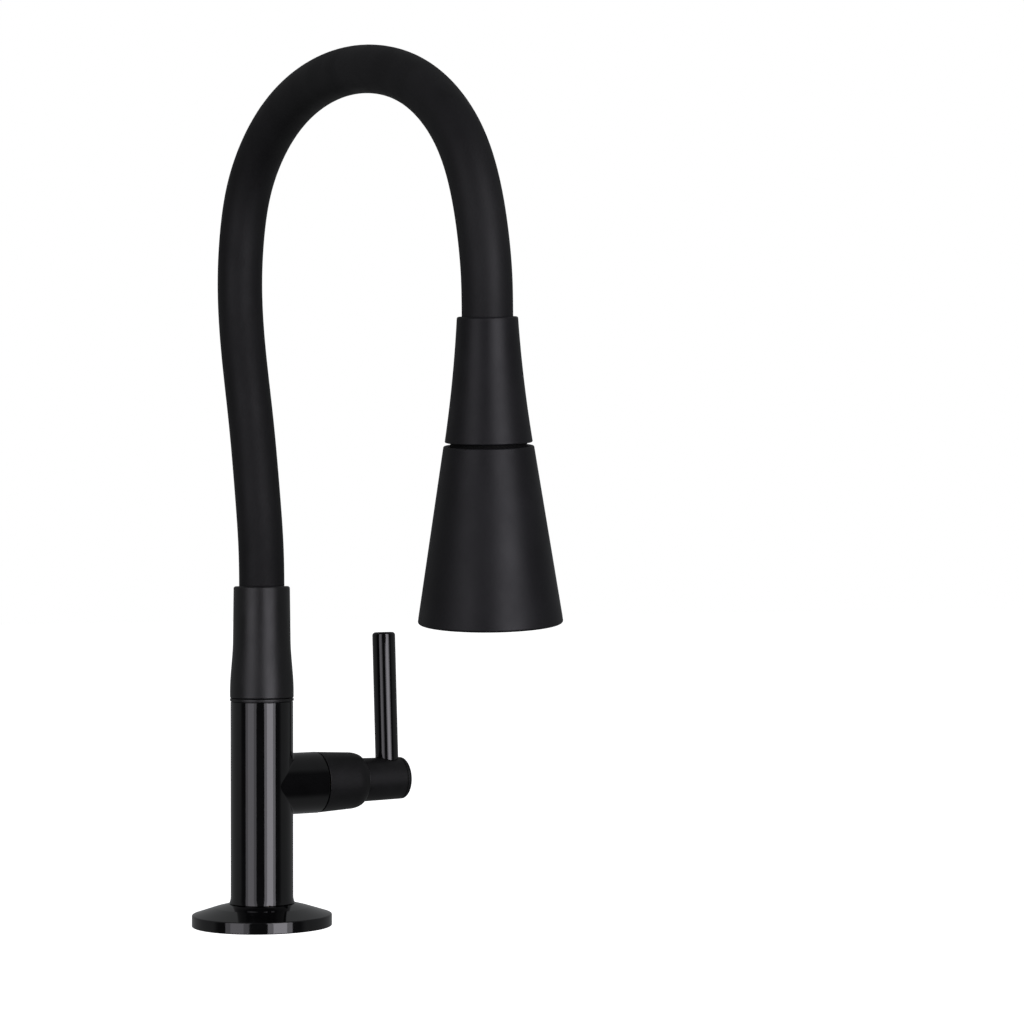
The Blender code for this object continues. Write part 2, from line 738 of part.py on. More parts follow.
def hub_end_cap(hub_end, finish, parent):
    foot = hub_end + GAP
    radius = HUB_RADIUS - HUB_TAPER
    outline = [
        (0, foot - CAP_PLUG),
        (CAP_PLUG_RADIUS, foot - CAP_PLUG),
        (CAP_PLUG_RADIUS, foot),
        (radius, foot, 0.2 * MM),
        (radius - 0.1 * MM, foot + CAP_THICKNESS, 1.1 * MM),
        (0, foot + CAP_THICKNESS),
    ]
    turned("hub_end_cap", outline, finish, parent, FINE)


def lever(along, finish, parent):
    """The rod, coped to sit on the hub, and the stud that holds it."""
    hole = STUD_RADIUS + GAP
    hole_top = STUD_TOP + GAP
    foot = HUB_RADIUS / 2
    outline = [
        (hole, foot),
        (LEVER_RADIUS, foot),
        (LEVER_RADIUS, LEVER_TOP, 1.6 * MM),
        (0, LEVER_TOP),
        (0, hole_top),
        (hole, hole_top),
    ]
    rod = turned("lever_rod", outline, finish, parent, MEDIUM)
    stand(rod, along, parent)
    reach = 2 * LEVER_RADIUS
    cope = cylinder("lever_cope", HUB_RADIUS + GAP, along - reach, along + reach, FINE)
    cope.parent = parent
    combine(rod, cope, "DIFFERENCE")
    low = STUD_FOOT + GAP
    outline = [(0, low), (STUD_RADIUS, low), (STUD_RADIUS, STUD_TOP), (0, STUD_TOP)]
    stand(turned("lever_stud", outline, steel(), parent, STUD_SIDES), along, parent)


# ---------------------------------------------------------------- swivel and collar
# Heights are above the column's top.


def swivel_joint(base, swivel):
    """The spigot that turns in the column, with its seals, washer and nut."""
    shoulder = -COUNTERBORE_DEPTH + GAP
    neck_foot = shoulder + SPIGOT_SHOULDER
    spigot_radius = CHAMBER_RADIUS - GAP
    foot = -CHAMBER_DEPTH + CHAMBER_FLOOR_GAP
    seals = [foot + height for height in SPIGOT_SEALS]
    outline = [
        (SPIGOT_BORE, foot),
        (spigot_radius, foot),
        *grooved(spigot_radius, seals),
        (spigot_radius, shoulder),
        (COUNTERBORE_RADIUS - GAP, shoulder),
        (COUNTERBORE_RADIUS - GAP, neck_foot),
        (SPIGOT_NECK, neck_foot),
        (SPIGOT_NECK, SPIGOT_RISE, 0.4 * MM),
        (SPIGOT_BORE, SPIGOT_RISE),
    ]
    turned("swivel_spigot", outline, brass(), swivel)
    for name, at in zip(("spigot_seal_lower", "spigot_seal_upper"), seals):
        o_ring(name, spigot_radius - RING_RADIUS, at, seal_rubber(), swivel)
    inner, outer = SPIGOT_NECK + GAP, COUNTERBORE_RADIUS - GAP
    washer = neck_foot + GAP
    ring("swivel_washer", inner, outer, washer, washer + SWIVEL_WASHER, black_plastic(), base)
    ring("spigot_nut", inner, outer, washer + SWIVEL_WASHER + GAP, -GAP, brass(), base)
    ring("swivel_ring", inner, COLLAR_RADIUS, GAP, GAP + SWIVEL_RING, matt_black(), swivel, FINE)


def neck_collar(finish, parent):
    foot = 2 * GAP + SWIVEL_RING
    top = foot + COLLAR_HEIGHT
    belly_top = foot + COLLAR_BELLY
    bore = SLEEVE_RADIUS + GAP
    steps = 5
    curve = []
    for step in range(steps + 1):
        t = step / steps
        eased = t * t * (3 - 2 * t)
        radius = COLLAR_RADIUS + (COLLAR_WAIST - COLLAR_RADIUS) * eased
        curve.append((radius, belly_top + COLLAR_EASE * t))
    outline = [
        (SPIGOT_NECK + GAP, foot),
        (COLLAR_RADIUS, foot, 0.4 * MM),
        *curve,
        (COLLAR_TOP_RADIUS, top, 1.5 * MM),
        (bore, top),
        (bore, foot + COLLAR_FLOOR),
        (SPIGOT_NECK + GAP, foot + COLLAR_FLOOR),
    ]
    turned("neck_collar", outline, finish, parent, FINE)


def lower_ferrule_foot():
    return 2 * GAP + SWIVEL_RING + COLLAR_FLOOR + GAP


def lower_ferrule(finish, parent):
    """Screwed onto the spigot below, and crimped round the gooseneck's core above."""
    foot = lower_ferrule_foot()
    web = SPIGOT_RISE + GAP
    socket = web + FERRULE_WEB
    core = SLEEVE_RADIUS - SLEEVE_WALL
    outline = [
        (SPIGOT_NECK + GAP, foot),
        (SLEEVE_RADIUS, foot),
        (SLEEVE_RADIUS, socket + FERRULE_SOCKET),
        (core, socket + FERRULE_SOCKET),
        (core, socket),
        (TUBE_RADIUS + 2 * GAP, socket),
        (TUBE_RADIUS + 2 * GAP, web),
        (SPIGOT_NECK + GAP, web),
    ]
    turned("lower_ferrule", outline, finish, parent)
    return socket


# ---------------------------------------------------------------- gooseneck


def head_direction():
    lean = math.radians(HEAD_LEAN)
    towards = math.radians(HEAD_LEAN_TOWARDS)
    across = math.sin(lean)
    return Vector((across * math.cos(towards), across * math.sin(towards), -math.cos(lean)))


def collar_top():
    return COLUMN_TOP + 2 * GAP + SWIVEL_RING + COLLAR_HEIGHT


def head_top():
    return Vector(HEAD_TOP) * MM + Vector((0, 0, collar_top()))


def arch():
    """The free stretch of the centreline, from the collar to the head, as a dense smooth curve."""
    lift = Vector((0, 0, collar_top()))
    lead = Vector((0, 0, 10 * MM))
    points = [lift - lead, lift]
    points += [Vector(p) * MM + lift for p in ROUTE]
    points += [head_top(), head_top() + head_direction() * 10 * MM]
    points = np.array([tuple(p) for p in points])
    knots = np.concatenate([[0], np.cumsum(np.linalg.norm(np.diff(points, axis=0), axis=1))])
    second = spline_bends(knots, points)
    dense = []
    for i in range(1, len(points) - 2):
        step = knots[i + 1] - knots[i]
        for t in np.arange(24) / 24:
            a, b = 1 - t, t
            bend = (a**3 - a) * second[i] + (b**3 - b) * second[i + 1]
            dense.append(a * points[i] + b * points[i + 1] + bend * step**2 / 6)
    dense.append(points[-2])
    return np.array(dense)


def spline_bends(knots, points):
    """The second derivatives of the natural cubic spline through the points."""
    count = len(points)
    steps = np.diff(knots)
    system = np.eye(count)
    right = np.zeros((count, 3))
    for i in range(1, count - 1):
        system[i, i - 1] = steps[i - 1]
        system[i, i] = 2 * (steps[i - 1] + steps[i])
        system[i, i + 1] = steps[i]
        slope_on = (points[i + 1] - points[i]) / steps[i]
        slope_back = (points[i] - points[i - 1]) / steps[i - 1]
        right[i] = 6 * (slope_on - slope_back)
    return np.linalg.solve(system, right)


class Neck:
    """The centreline as straight chords between stations, read by the length from the column's top.

    Every hose has a ring at each station it passes, so that hoses one inside another stay parallel.
    """

    def __init__(self):
        dense = arch()
        run = np.concatenate([[0], np.cumsum(np.linalg.norm(np.diff(dense, axis=0), axis=1))])
        places = np.linspace(0, run[-1], round(run[-1] / RING_SPACING) + 1)
        chords = np.array([[np.interp(x, run, dense[:, k]) for k in range(3)] for x in places])
        foot = collar_top() - COLUMN_TOP
        self.head = foot + run[-1]
        self.stations = np.concatenate([[0], foot + places, [self.head + HEAD_INSIDE]])
        last = head_top() + head_direction() * HEAD_INSIDE
        self.points = np.vstack([(0, 0, COLUMN_TOP), chords, tuple(last)])

    def at(self, along):
        return np.array([np.interp(along, self.stations, self.points[:, k]) for k in range(3)])

    def frame(self, along):
        """Two directions across the centreline."""
        tangent = self.at(along + 0.5 * MM) - self.at(along - 0.5 * MM)
        tangent /= np.linalg.norm(tangent)
        side = np.array([1.0, 0, 0]) - tangent[0] * tangent
        side /= np.linalg.norm(side)
        return side, np.cross(tangent, side)

    def rings(self, start, end):
        """The stations at which a hose from start to end has its rings."""
        between = self.stations[(self.stations > start + 2 * MM) & (self.stations < end - 2 * MM)]
        return [start, *between, end]


def hose(name, neck, start, end, outer, inner, sides, finish, parent):
    """A hollow tube along a stretch of the centreline, open at both ends."""
    origin = np.array(world_place(parent))
    bm = bmesh.new()
    rings = []
    for along in neck.rings(start, end):
        middle = neck.at(along) - origin
        side, up = neck.frame(along)
        for radius in (outer, inner):
            loop = []
            for step in range(sides):
                angle = math.tau * step / sides
                across = math.cos(angle) * side + math.sin(angle) * up
                loop.append(bm.verts.new(middle + radius * across))
            rings.append(loop)
    bands = [(rings[0], rings[1]), (rings[-2], rings[-1])]
    bands += [(rings[i], rings[i + 2]) for i in range(len(rings) - 2)]
    for a, b in bands:
        for k in range(sides):
            bm.faces.new((a[k], a[(k + 1) % sides], b[(k + 1) % sides], b[k]))
    bmesh.ops.recalc_face_normals(bm, faces=bm.faces)
    mesh = bpy.data.meshes.new(name)
    bm.to_mesh(mesh)
    bm.free()
    return node(name, mesh, finish, parent)


def sleeve(neck, ferrule_top, swivel, lower_bend, crown_bend):
    """The moulded rubber sleeve: stiff stretches, and the two stretches that take the bending."""
    lower_start = LOWER_BEND_AT - LOWER_BEND_LENGTH / 2
    lower_end = LOWER_BEND_AT + LOWER_BEND_LENGTH / 2
    crown_start = CROWN_BEND_AT - CROWN_BEND_LENGTH / 2
    crown_end = CROWN_BEND_AT + CROWN_BEND_LENGTH / 2
    stretches = [
        ("neck_sleeve_lower", ferrule_top + GAP, lower_start, swivel),
        ("neck_sleeve_lower_bend", lower_start + GAP, lower_end, lower_bend),
        ("neck_sleeve_middle", lower_end + GAP, crown_start, lower_bend),
        ("neck_sleeve_crown_bend", crown_start + GAP, crown_end, lower_bend),
        ("neck_sleeve_upper", crown_end + GAP, neck.head + HEAD_ENTRY, crown_bend),
    ]
    finish = sleeve_rubber()
    inner = SLEEVE_RADIUS - SLEEVE_WALL
    for name, start, end, parent in stretches:
        hose(name, neck, start, end, SLEEVE_RADIUS, inner, NECK_SIDES, finish, parent)


def neck_inside(neck, core_start, core_end, tube_start, tube_end, parent):
    """The wound steel core and the water tube in it."""
    outer = SLEEVE_RADIUS - SLEEVE_WALL - GAP
    inner = outer - CORE_WALL
    hose("gooseneck_core", neck, core_start, core_end, outer, inner, CORE_SIDES, steel(), parent)
    inner = TUBE_RADIUS - TUBE_WALL
    hose("water_tube", neck, tube_start, tube_end, TUBE_RADIUS, inner, TUBE_SIDES, silicone(), parent)


# ---------------------------------------------------------------- spray head
# Lengths are down its own axis, from its top.


def down(outline):
    """Turns lengths down the head's axis into heights."""
    return [(radius, -along, *fillet) for radius, along, *fillet in outline]


def head_places():
    """Lengths down the head's axis at which its inner pieces stand."""
    ferrule_top = HEAD_ENTRY + GAP
    core_end = ferrule_top + FERRULE_SOCKET - GAP
    ferrule_shoulder = core_end + GAP + FERRULE_WEB
    web = ferrule_shoulder + GAP
    nipple_top = web + CONE_WEB
    return SimpleNamespace(
        ferrule_top=ferrule_top,
        core_end=core_end,
        ferrule_shoulder=ferrule_shoulder,
        ferrule_foot=nipple_top + FERRULE_SPIGOT_LENGTH,
        web=web,
        nipple_top=nipple_top,
    )


def upper_ferrule(finish, parent):
    """Crimped round the end of the gooseneck's core, and screwed into the nipple."""
    places = head_places()
    core = SLEEVE_RADIUS - SLEEVE_WALL
    outline = [
        (core, places.ferrule_top),
        (SLEEVE_RADIUS, places.ferrule_top),
        (SLEEVE_RADIUS, places.ferrule_shoulder),
        (FERRULE_SPIGOT, places.ferrule_shoulder),
        (FERRULE_SPIGOT, places.ferrule_foot),
        (SPIGOT_BORE, places.ferrule_foot),
        (SPIGOT_BORE, places.core_end + GAP),
        (core, places.core_end + GAP),
    ]
    turned("upper_ferrule", down(outline), finish, parent)


def head_upper_cone(finish, parent):
    """Clamped between the ferrule and the nipple by its inner flange."""
    places = head_places()
    bore = SLEEVE_RADIUS + GAP
    seat = UPPER_CONE - DETENT_DEPTH - GAP
    steps = 5
    curve = []
    for step in range(steps):
        along = CONE_EDGE + (UPPER_CONE - CONE_EDGE) * step / steps
        curve.append((cone_radius(along), along))
    outline = [
        (bore, 0),
        (CONE_RADIUS, 0, 1.5 * MM),
        *curve,
        (cone_radius(UPPER_CONE), UPPER_CONE, 0.5 * MM),
        (GROOVE_RADIUS + GAP, UPPER_CONE),
        (GROOVE_RADIUS + GAP, seat),
        (NIPPLE_HEAD + GAP, seat),
        (NIPPLE_HEAD + GAP, places.nipple_top - GAP),
        (FERRULE_SPIGOT + GAP, places.nipple_top - GAP),
        (FERRULE_SPIGOT + GAP, places.web),
        (bore, places.web),
    ]
    turned("head_upper_cone", down(outline), finish, parent, FINE)


def cone_radius(along):
    slope = (CONE_FOOT_RADIUS - CONE_RADIUS) / UPPER_CONE - CONE_FLARE * UPPER_CONE
    return CONE_RADIUS + slope * along + CONE_FLARE * along**2


def shell_top():
    return UPPER_CONE + HEAD_GROOVE


def shell_radius(along):
    """Outer radius of the spray shell."""
    return SHELL_RADIUS + (SHELL_FOOT_RADIUS - SHELL_RADIUS) * (along - shell_top()) / SHELL_LENGTH


def shell_web():
    return shell_top() + DETENT_DEPTH


def head_nipple(finish, parent):
    """Screwed to the ferrule, it carries the spray shell and lets it turn."""
    places = head_places()
    top = places.nipple_top
    head_foot = UPPER_CONE - 2 * DETENT_DEPTH
    web = shell_web()
    seal_at = web + SHELL_WEB / 2
    clip_top = web + SHELL_WEB + GAP
    cup_top = clip_top + CLIP_THICKNESS + 2 * GAP
    end = cup_top + CUP_LENGTH - CUP_FLOOR - 2 * GAP
    groove = NIPPLE_RADIUS - GROOVE_DEPTH
    outline = [
        (FERRULE_SPIGOT + GAP, top),
        (NIPPLE_HEAD, top),
        (NIPPLE_HEAD, head_foot),
        (NIPPLE_RADIUS, head_foot),
        *grooved(NIPPLE_RADIUS, [seal_at]),
        (NIPPLE_RADIUS, clip_top - GAP),
        (groove, clip_top - GAP),
        (groove, clip_top + CLIP_THICKNESS + GAP),
        (NIPPLE_RADIUS, clip_top + CLIP_THICKNESS + GAP),
        (NIPPLE_RADIUS, end, 0.5 * MM),
        (SPIGOT_BORE, end),
        (SPIGOT_BORE, places.ferrule_foot + GAP),
        (FERRULE_SPIGOT + GAP, places.ferrule_foot + GAP),
    ]
    turned("head_nipple", down(outline), finish, parent)
    o_ring("nipple_seal", NIPPLE_RADIUS - RING_RADIUS, -seal_at, seal_rubber(), parent)
    clip_low = -clip_top - CLIP_THICKNESS
    circlip("nipple_circlip", groove, NIPPLE_RADIUS + CLIP_OUT, clip_low, steel(), parent)
    return cup_top


def detent_ring(finish, parent):
    """Fills the groove between the cones and centres the shell."""
    top = UPPER_CONE - DETENT_DEPTH
    foot = shell_web() - GAP
    ring("detent_ring", NIPPLE_HEAD + GAP, GROOVE_RADIUS, -foot, -top, finish, parent, MEDIUM)


def diverter_cup(top, finish, parent):
    """Fixed to the nipple: its two ports meet those of the distributor in turn."""
    foot = top + CUP_LENGTH
    floor = foot - CUP_FLOOR
    outline = [
        (NIPPLE_RADIUS + GAP, top),
        (CUP_RADIUS, top),
        (CUP_RADIUS, foot),
        (0, foot),
        (0, floor),
        (CUP_RADIUS - CUP_WALL, floor),
        (CUP_RADIUS - CUP_WALL, top + CUP_WALL),
        (NIPPLE_RADIUS + GAP, top + CUP_WALL),
    ]
    cup = turned("diverter_cup", down(outline), finish, parent)
    add_port(cup, INNER_PORT, 0, floor, foot, parent)
    add_port(cup, OUTER_PORT, math.pi / 2, floor, foot, parent)
    return foot


def add_port(obj, out, angle, top, foot, parent):
    """A hole through a floor, at a distance and an angle from the axis."""
    name = f"{obj.name}_port_{round(out / MM)}"
    cutter = cylinder(name, PORT_RADIUS, -foot - PAST, -top + PAST, PORT_SIDES)
    cutter.parent = parent
    cutter.location = (out * math.cos(angle), out * math.sin(angle), 0)
    combine(obj, cutter, "DIFFERENCE")


def spray_shell(finish, parent):
    top = shell_top()
    foot = top + SHELL_LENGTH
    web = shell_web()
    web_foot = web + SHELL_WEB
    outline = [
        (GROOVE_RADIUS + GAP, top),
        (SHELL_RADIUS, top, 0.7 * MM),
        (SHELL_FOOT_RADIUS, foot, 1.6 * MM),
        (shell_radius(foot) - SHELL_WALL, foot, 0.5 * MM),
        (shell_radius(web_foot) - SHELL_WALL, web_foot),
        (NIPPLE_RADIUS + GAP, web_foot),
        (NIPPLE_RADIUS + GAP, web),
        (GROOVE_RADIUS + GAP, web),
    ]
    turned("spray_shell", down(outline), finish, parent, FINE)


def face_places():
    """Lengths down the axis of the faceplate's face and back, and of the mat's back."""
    face = shell_top() + SHELL_LENGTH - FACE_INSET
    back = face - FACE_THICKNESS
    return SimpleNamespace(face=face, back=back, mat=back - GAP - MAT_THICKNESS)


def socket_outer():
    """Outer radius of the socket that the aerator screws into."""
    return AERATOR_RADIUS + GAP + DISTRIBUTOR_WALL


def water_distributor(cup_foot, finish, parent):
    """Leads the water to the aerator in the middle, or round it to the nozzles."""
    top = cup_foot + GAP
    floor = top + DISTRIBUTOR_FLOOR
    foot = face_places().mat - GAP
    skirt = shell_radius(foot) - SHELL_WALL - SKIRT_GAP
    socket = AERATOR_RADIUS + GAP
    socket_top = foot - AERATOR_SOCKET
    cone_top = socket_top - SOCKET_CONE
    throat_outer = THROAT_RADIUS + DISTRIBUTOR_WALL
    outline = [
        (0, top),
        (DISTRIBUTOR_RADIUS, top),
        (skirt, foot),
        (skirt - DISTRIBUTOR_SKIRT, foot),
        (DISTRIBUTOR_RADIUS - DISTRIBUTOR_WALL, floor),
        (throat_outer, floor),
        (throat_outer, cone_top),
        (socket_outer(), socket_top),
        (socket_outer(), foot),
        (socket, foot),
        (socket, socket_top),
        (THROAT_RADIUS, cone_top),
        (THROAT_RADIUS, floor),
        (0, floor),
    ]
    distributor = turned("water_distributor", down(outline), finish, parent)
    add_port(distributor, INNER_PORT, 0, top, floor, parent)
    add_port(distributor, OUTER_PORT, 0, top, floor, parent)


def posts(name, places, radius, top, foot, parent):
    """A set of upright posts at (radius, angle) places, to join or to cut."""
    bm = bmesh.new()
    for out, angle in places:
        middle = (out * math.cos(angle), out * math.sin(angle), -(top + foot) / 2)
        bmesh.ops.create_cone(
            bm,
            cap_ends=True,
            segments=NOZZLE_SIDES,
            radius1=radius,
            radius2=radius,
            depth=foot - top,
            matrix=Matrix.Translation(middle),
        )
    mesh = bpy.data.meshes.new(name)
    bm.to_mesh(mesh)
    bm.free()
    made = bpy.data.objects.new(name, mesh)
    bpy.context.collection.objects.link(made)
    made.parent = parent
    return made


def nozzle_places():
    places = []
    for circle, count in NOZZLE_RINGS:
        places += [(circle, math.tau * (step + 0.5) / count) for step in range(count)]
    return places


def spray_face(parent):
    """The silicone nozzle mat and the faceplate that it pokes through."""
    at = face_places()
    inner = socket_outer() + GAP
    outer = shell_radius(at.mat) - SHELL_WALL - 2 * GAP
    mat_foot = at.back - GAP
    mat = ring("nozzle_mat", inner, outer, -mat_foot, -at.mat, silicone(), parent, MEDIUM)
    tip = at.face + PAST
    nozzles = posts("mat_nozzles", nozzle_places(), NOZZLE_RADIUS, mat_foot - PAST, tip, parent)
    combine(mat, nozzles, "UNION")
    outer = shell_radius(at.back) - SHELL_WALL - GAP
    plate = ring("spray_faceplate", inner, outer, -at.face, -at.back, black_plastic(), parent, FINE)
    hole = NOZZLE_RADIUS + GAP
    holes = posts("faceplate_holes", nozzle_places(), hole, at.back - PAST, tip, parent)
    combine(plate, holes, "DIFFERENCE")


def aerator(parent):
    """The housing screws into the distributor, and its flange holds the faceplate."""
    at = face_places()
    flange = at.face + GAP
    foot = flange + AERATOR_FLANGE_THICKNESS
    top = foot - AERATOR_LENGTH
    outline = [
        (AERATOR_BORE, top),
        (AERATOR_RADIUS, top),
        (AERATOR_RADIUS, at.mat),
        (socket_outer(), at.mat),
        (socket_outer(), flange),
        (AERATOR_FLANGE, flange),
        (AERATOR_FLANGE, foot, 0.4 * MM),
        (AERATOR_BORE, foot),
    ]
    turned("aerator_housing", down(outline), brass(), parent)
    radius = AERATOR_BORE - GAP
    insert_top = top + INSERT_INSET
    insert_foot = foot - INSERT_INSET
    outline = [(0, insert_top), (radius, insert_top), (radius, insert_foot), (0, insert_foot)]
    insert = turned("aerator_insert", down(outline), black_plastic(), parent)
    places = [(0, 0)] + [(AERATOR_HOLES_OUT, math.tau * step / 6) for step in range(6)]
    holes = posts("aerator_holes", places, AERATOR_HOLE, insert_top - PAST, insert_foot + PAST, parent)
    combine(insert, holes, "DIFFERENCE")


# ---------------------------------------------------------------- assembly


def build():
    clear_scene()
    neck = Neck()
    gloss, matt = gloss_black(), matt_black()
    top = (0, 0, COLUMN_TOP)

    base = axis_empty("base_origin", (0, 0, 0))
    valve = axis_empty("valve_axis", (0, 0, ARM_HEIGHT), base, (0, math.pi / 2, 0))
    leaned = Matrix.Rotation(-math.radians(LEVER_LEAN), 3, "X") @ Matrix.Rotation(math.pi / 2, 3, "Y")
    handle = axis_empty("handle_axis", (0, 0, ARM_HEIGHT), base, leaned.to_euler())
    column_head = axis_empty("column_head", top, base)
    swivel = axis_empty("swivel_axis", top, base)
    lower_bend = axis_empty("lower_bend_axis", neck.at(LOWER_BEND_AT), swivel)
    crown_bend = axis_empty("crown_bend_axis", neck.at(CROWN_BEND_AT), lower_bend)
    head = axis_empty("head_axis", head_top(), crown_bend)
    lean = Vector((0, 0, -1)).rotation_difference(head_direction())
    head.rotation_euler = lean.to_euler()
    twist = axis_empty("twist_axis", world_place(head), crown_bend)
    twist.rotation_euler = lean.to_euler()

    base_flange(gloss, base)
    base_gasket(seal_rubber(), base)
    mounting_shank(brass(), base)
    deck_clamp(base)
    column_body(gloss, base)

    cartridge_body(brass(), valve)
    seat_and_fixed_disc(valve)
    spindle_tip, tap_end = spindle(brass(), handle)
    bell_end = handle_bell(gloss, handle)
    lever_hub(bell_end, spindle_tip, tap_end, gloss, handle)

    swivel_joint(column_head, swivel)
    neck_collar(matt, swivel)
    core_socket = lower_ferrule(brass(), swivel)

    places = head_places()
    sleeve(neck, core_socket + FERRULE_SOCKET, swivel, lower_bend, crown_bend)
    neck_inside(
        neck,
        core_socket + GAP,
        neck.head + places.core_end,
        SPIGOT_RISE - TUBE_PUSHED_ON,
        neck.head + places.nipple_top + TUBE_IN_FERRULE,
        lower_bend,
    )

    upper_ferrule(brass(), head)
    head_upper_cone(matt, head)
    clip_foot = head_nipple(brass(), head)
    detent_ring(black_plastic(), head)
    cup_foot = diverter_cup(clip_foot, black_plastic(), head)

    spray_shell(matt, twist)
    water_distributor(cup_foot, black_plastic(), twist)
    spray_face(twist)
    aerator(twist)


build()
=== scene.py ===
"""The finished look of the kitchen faucet.

The column and the lever are glossy, the handle satin, the gooseneck and the spray head matt. Each
piece is modelled in the row frame, in metres; all but the gooseneck's ride on the body that carries
their CAD solid.
Places come from the CAD nodes' boxes. Outlines are lists of (radius, height) or (radius, height,
fillet), turned about their own axis.
"""

import json
import math

import bmesh
import bpy
import numpy as np
from mathutils import Matrix, Vector

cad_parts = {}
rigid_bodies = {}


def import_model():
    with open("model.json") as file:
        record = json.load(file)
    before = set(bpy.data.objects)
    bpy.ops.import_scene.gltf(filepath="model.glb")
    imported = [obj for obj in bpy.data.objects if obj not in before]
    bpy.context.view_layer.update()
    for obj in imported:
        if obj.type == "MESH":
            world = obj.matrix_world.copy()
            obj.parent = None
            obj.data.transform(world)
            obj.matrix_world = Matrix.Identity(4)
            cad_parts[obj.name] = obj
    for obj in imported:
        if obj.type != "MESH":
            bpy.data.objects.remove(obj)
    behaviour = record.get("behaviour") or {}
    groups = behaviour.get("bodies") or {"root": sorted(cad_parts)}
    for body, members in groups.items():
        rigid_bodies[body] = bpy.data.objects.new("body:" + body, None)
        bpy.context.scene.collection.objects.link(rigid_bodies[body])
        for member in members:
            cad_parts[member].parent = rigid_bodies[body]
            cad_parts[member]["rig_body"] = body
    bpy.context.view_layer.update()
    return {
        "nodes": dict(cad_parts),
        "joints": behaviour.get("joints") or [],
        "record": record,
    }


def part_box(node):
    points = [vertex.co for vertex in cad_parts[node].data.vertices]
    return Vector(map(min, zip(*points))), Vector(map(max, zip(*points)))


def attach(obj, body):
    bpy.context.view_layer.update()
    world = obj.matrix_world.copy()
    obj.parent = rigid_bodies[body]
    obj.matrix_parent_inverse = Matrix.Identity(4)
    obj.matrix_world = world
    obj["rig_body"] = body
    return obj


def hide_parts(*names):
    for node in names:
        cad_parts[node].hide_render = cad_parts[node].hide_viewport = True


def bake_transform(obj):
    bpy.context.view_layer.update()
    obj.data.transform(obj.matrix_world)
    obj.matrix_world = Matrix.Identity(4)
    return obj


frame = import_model()

MM = 0.001
GAP = 0.3 * MM
ROUND = 128  # sides of the large turned pieces
SMALL = 48  # sides of the aerator's screen
POLE = 0.01 * MM  # radius at which rings close on their axis

# The gooseneck's centreline above the collar: (X, Y, height above the collar's top), in millimetres
ROUTE = [
    (0.0, 0.8, 20.0),
    (0.0, 4.2, 45.0),
    (0.0, 11.8, 86.0),
    (0.0, 19.4, 119.0),
    (0.0, 24.0, 156.0),
    (0.0, 21.6, 182.0),
    (0.0, 14.0, 205.0),
    (0.0, -2.0, 225.0),
    (0.0, -25.0, 240.0),
    (0.0, -55.0, 249.3),
    (0.0, -88.7, 251.75),
    (0.0, -121.0, 247.8),
    (0.0, -151.2, 238.0),
    (0.0, -177.3, 222.0),
    (0.0, -195.3, 203.0),
    (0.0, -206.3, 182.0),
    (0.3, -212.2, 160.0),
    (0.9, -214.3, 140.0),
]

# Base and column
SHANK_HOLE = 10.78 * MM  # radius, in the pieces round the shank
SHANK_SOCKET = 12.7 * MM  # depth in the column's foot
SHANK_BORE = 7.0 * MM
THREAD_DEPTH = 1.16 * MM
THREAD_PITCH = 1.814 * MM
COLUMN_RADIUS = 16.0 * MM
COLUMN_FLARE = 0.75 * MM
COLUMN_FLARE_HEIGHT = 3.4 * MM
COLUMN_EDGE = 0.35 * MM
ARM_RADIUS = 15.8 * MM
ARM_FILLET = 1.1 * MM  # where the arm leaves the column
ARM_EDGE = 0.15 * MM
ARM_BORE = 10.6 * MM
ARM_BORE_END = 8 * MM  # from the column's axis

# Swivel, in the column's top
SEAT_RADIUS = 12.6 * MM
SEAT_DEPTH = 7.7 * MM
SPIGOT_HOLE = 10.3 * MM
SPIGOT_DEPTH = 22.7 * MM
COLLAR_HOLE = 9.5 * MM
COLLAR_WAIST = 14.75 * MM
COLLAR_LIP = 14.4 * MM
COLLAR_FLOOR = 2 * MM
COLLAR_STRAIGHT = 3.3 * MM
COLLAR_EASE = 27.0 * MM  # height over which it narrows

# Handle
BELL_RADIUS = 15.7 * MM
BELL_TAPER = 0.9 * MM
BELL_SHOULDER = 7.5 * MM
BELL_BORE = 12.2 * MM
BELL_HOLE = 8.3 * MM
BELL_END_WALL = 7.2 * MM
HUB_RADIUS = 11.4 * MM
HUB_TAPER = 0.4 * MM
HUB_SPIGOT_RADIUS = 8.0 * MM
HUB_BORE = 4.3 * MM
HUB_COUNTERBORE = 4.6 * MM
HUB_RECESS = 2.8 * MM
CAP_PLUG = 7.7 * MM

# Gooseneck and lever
SLEEVE_RADIUS = 11.6 * MM
SLEEVE_WALL = 2.6 * MM
CORE_WALL = 2.5 * MM
TUBE_RADIUS = 5.4 * MM
TUBE_WALL = 1.4 * MM
SPLINE_LEAD = 10 * MM  # straight run that sets the line's direction at its ends
HOSE_END = 50 * MM  # straight run added inside the collar and the head
SEAM = 292 * MM  # along the neck, where its two runs meet
LOWER_REACH = Vector((0, 0, 35 * MM))  # on either side of the bend that moves there
CROWN_REACH = Vector((0, 40 * MM, 0))
LEVER_LEAN = 2.7  # degrees
LEVER_TOP = 77.2 * MM  # above the valve's axis
HEAD_LEAN = 6.5  # degrees
HEAD_LEAN_TOWARDS = 53.5  # degrees from +X

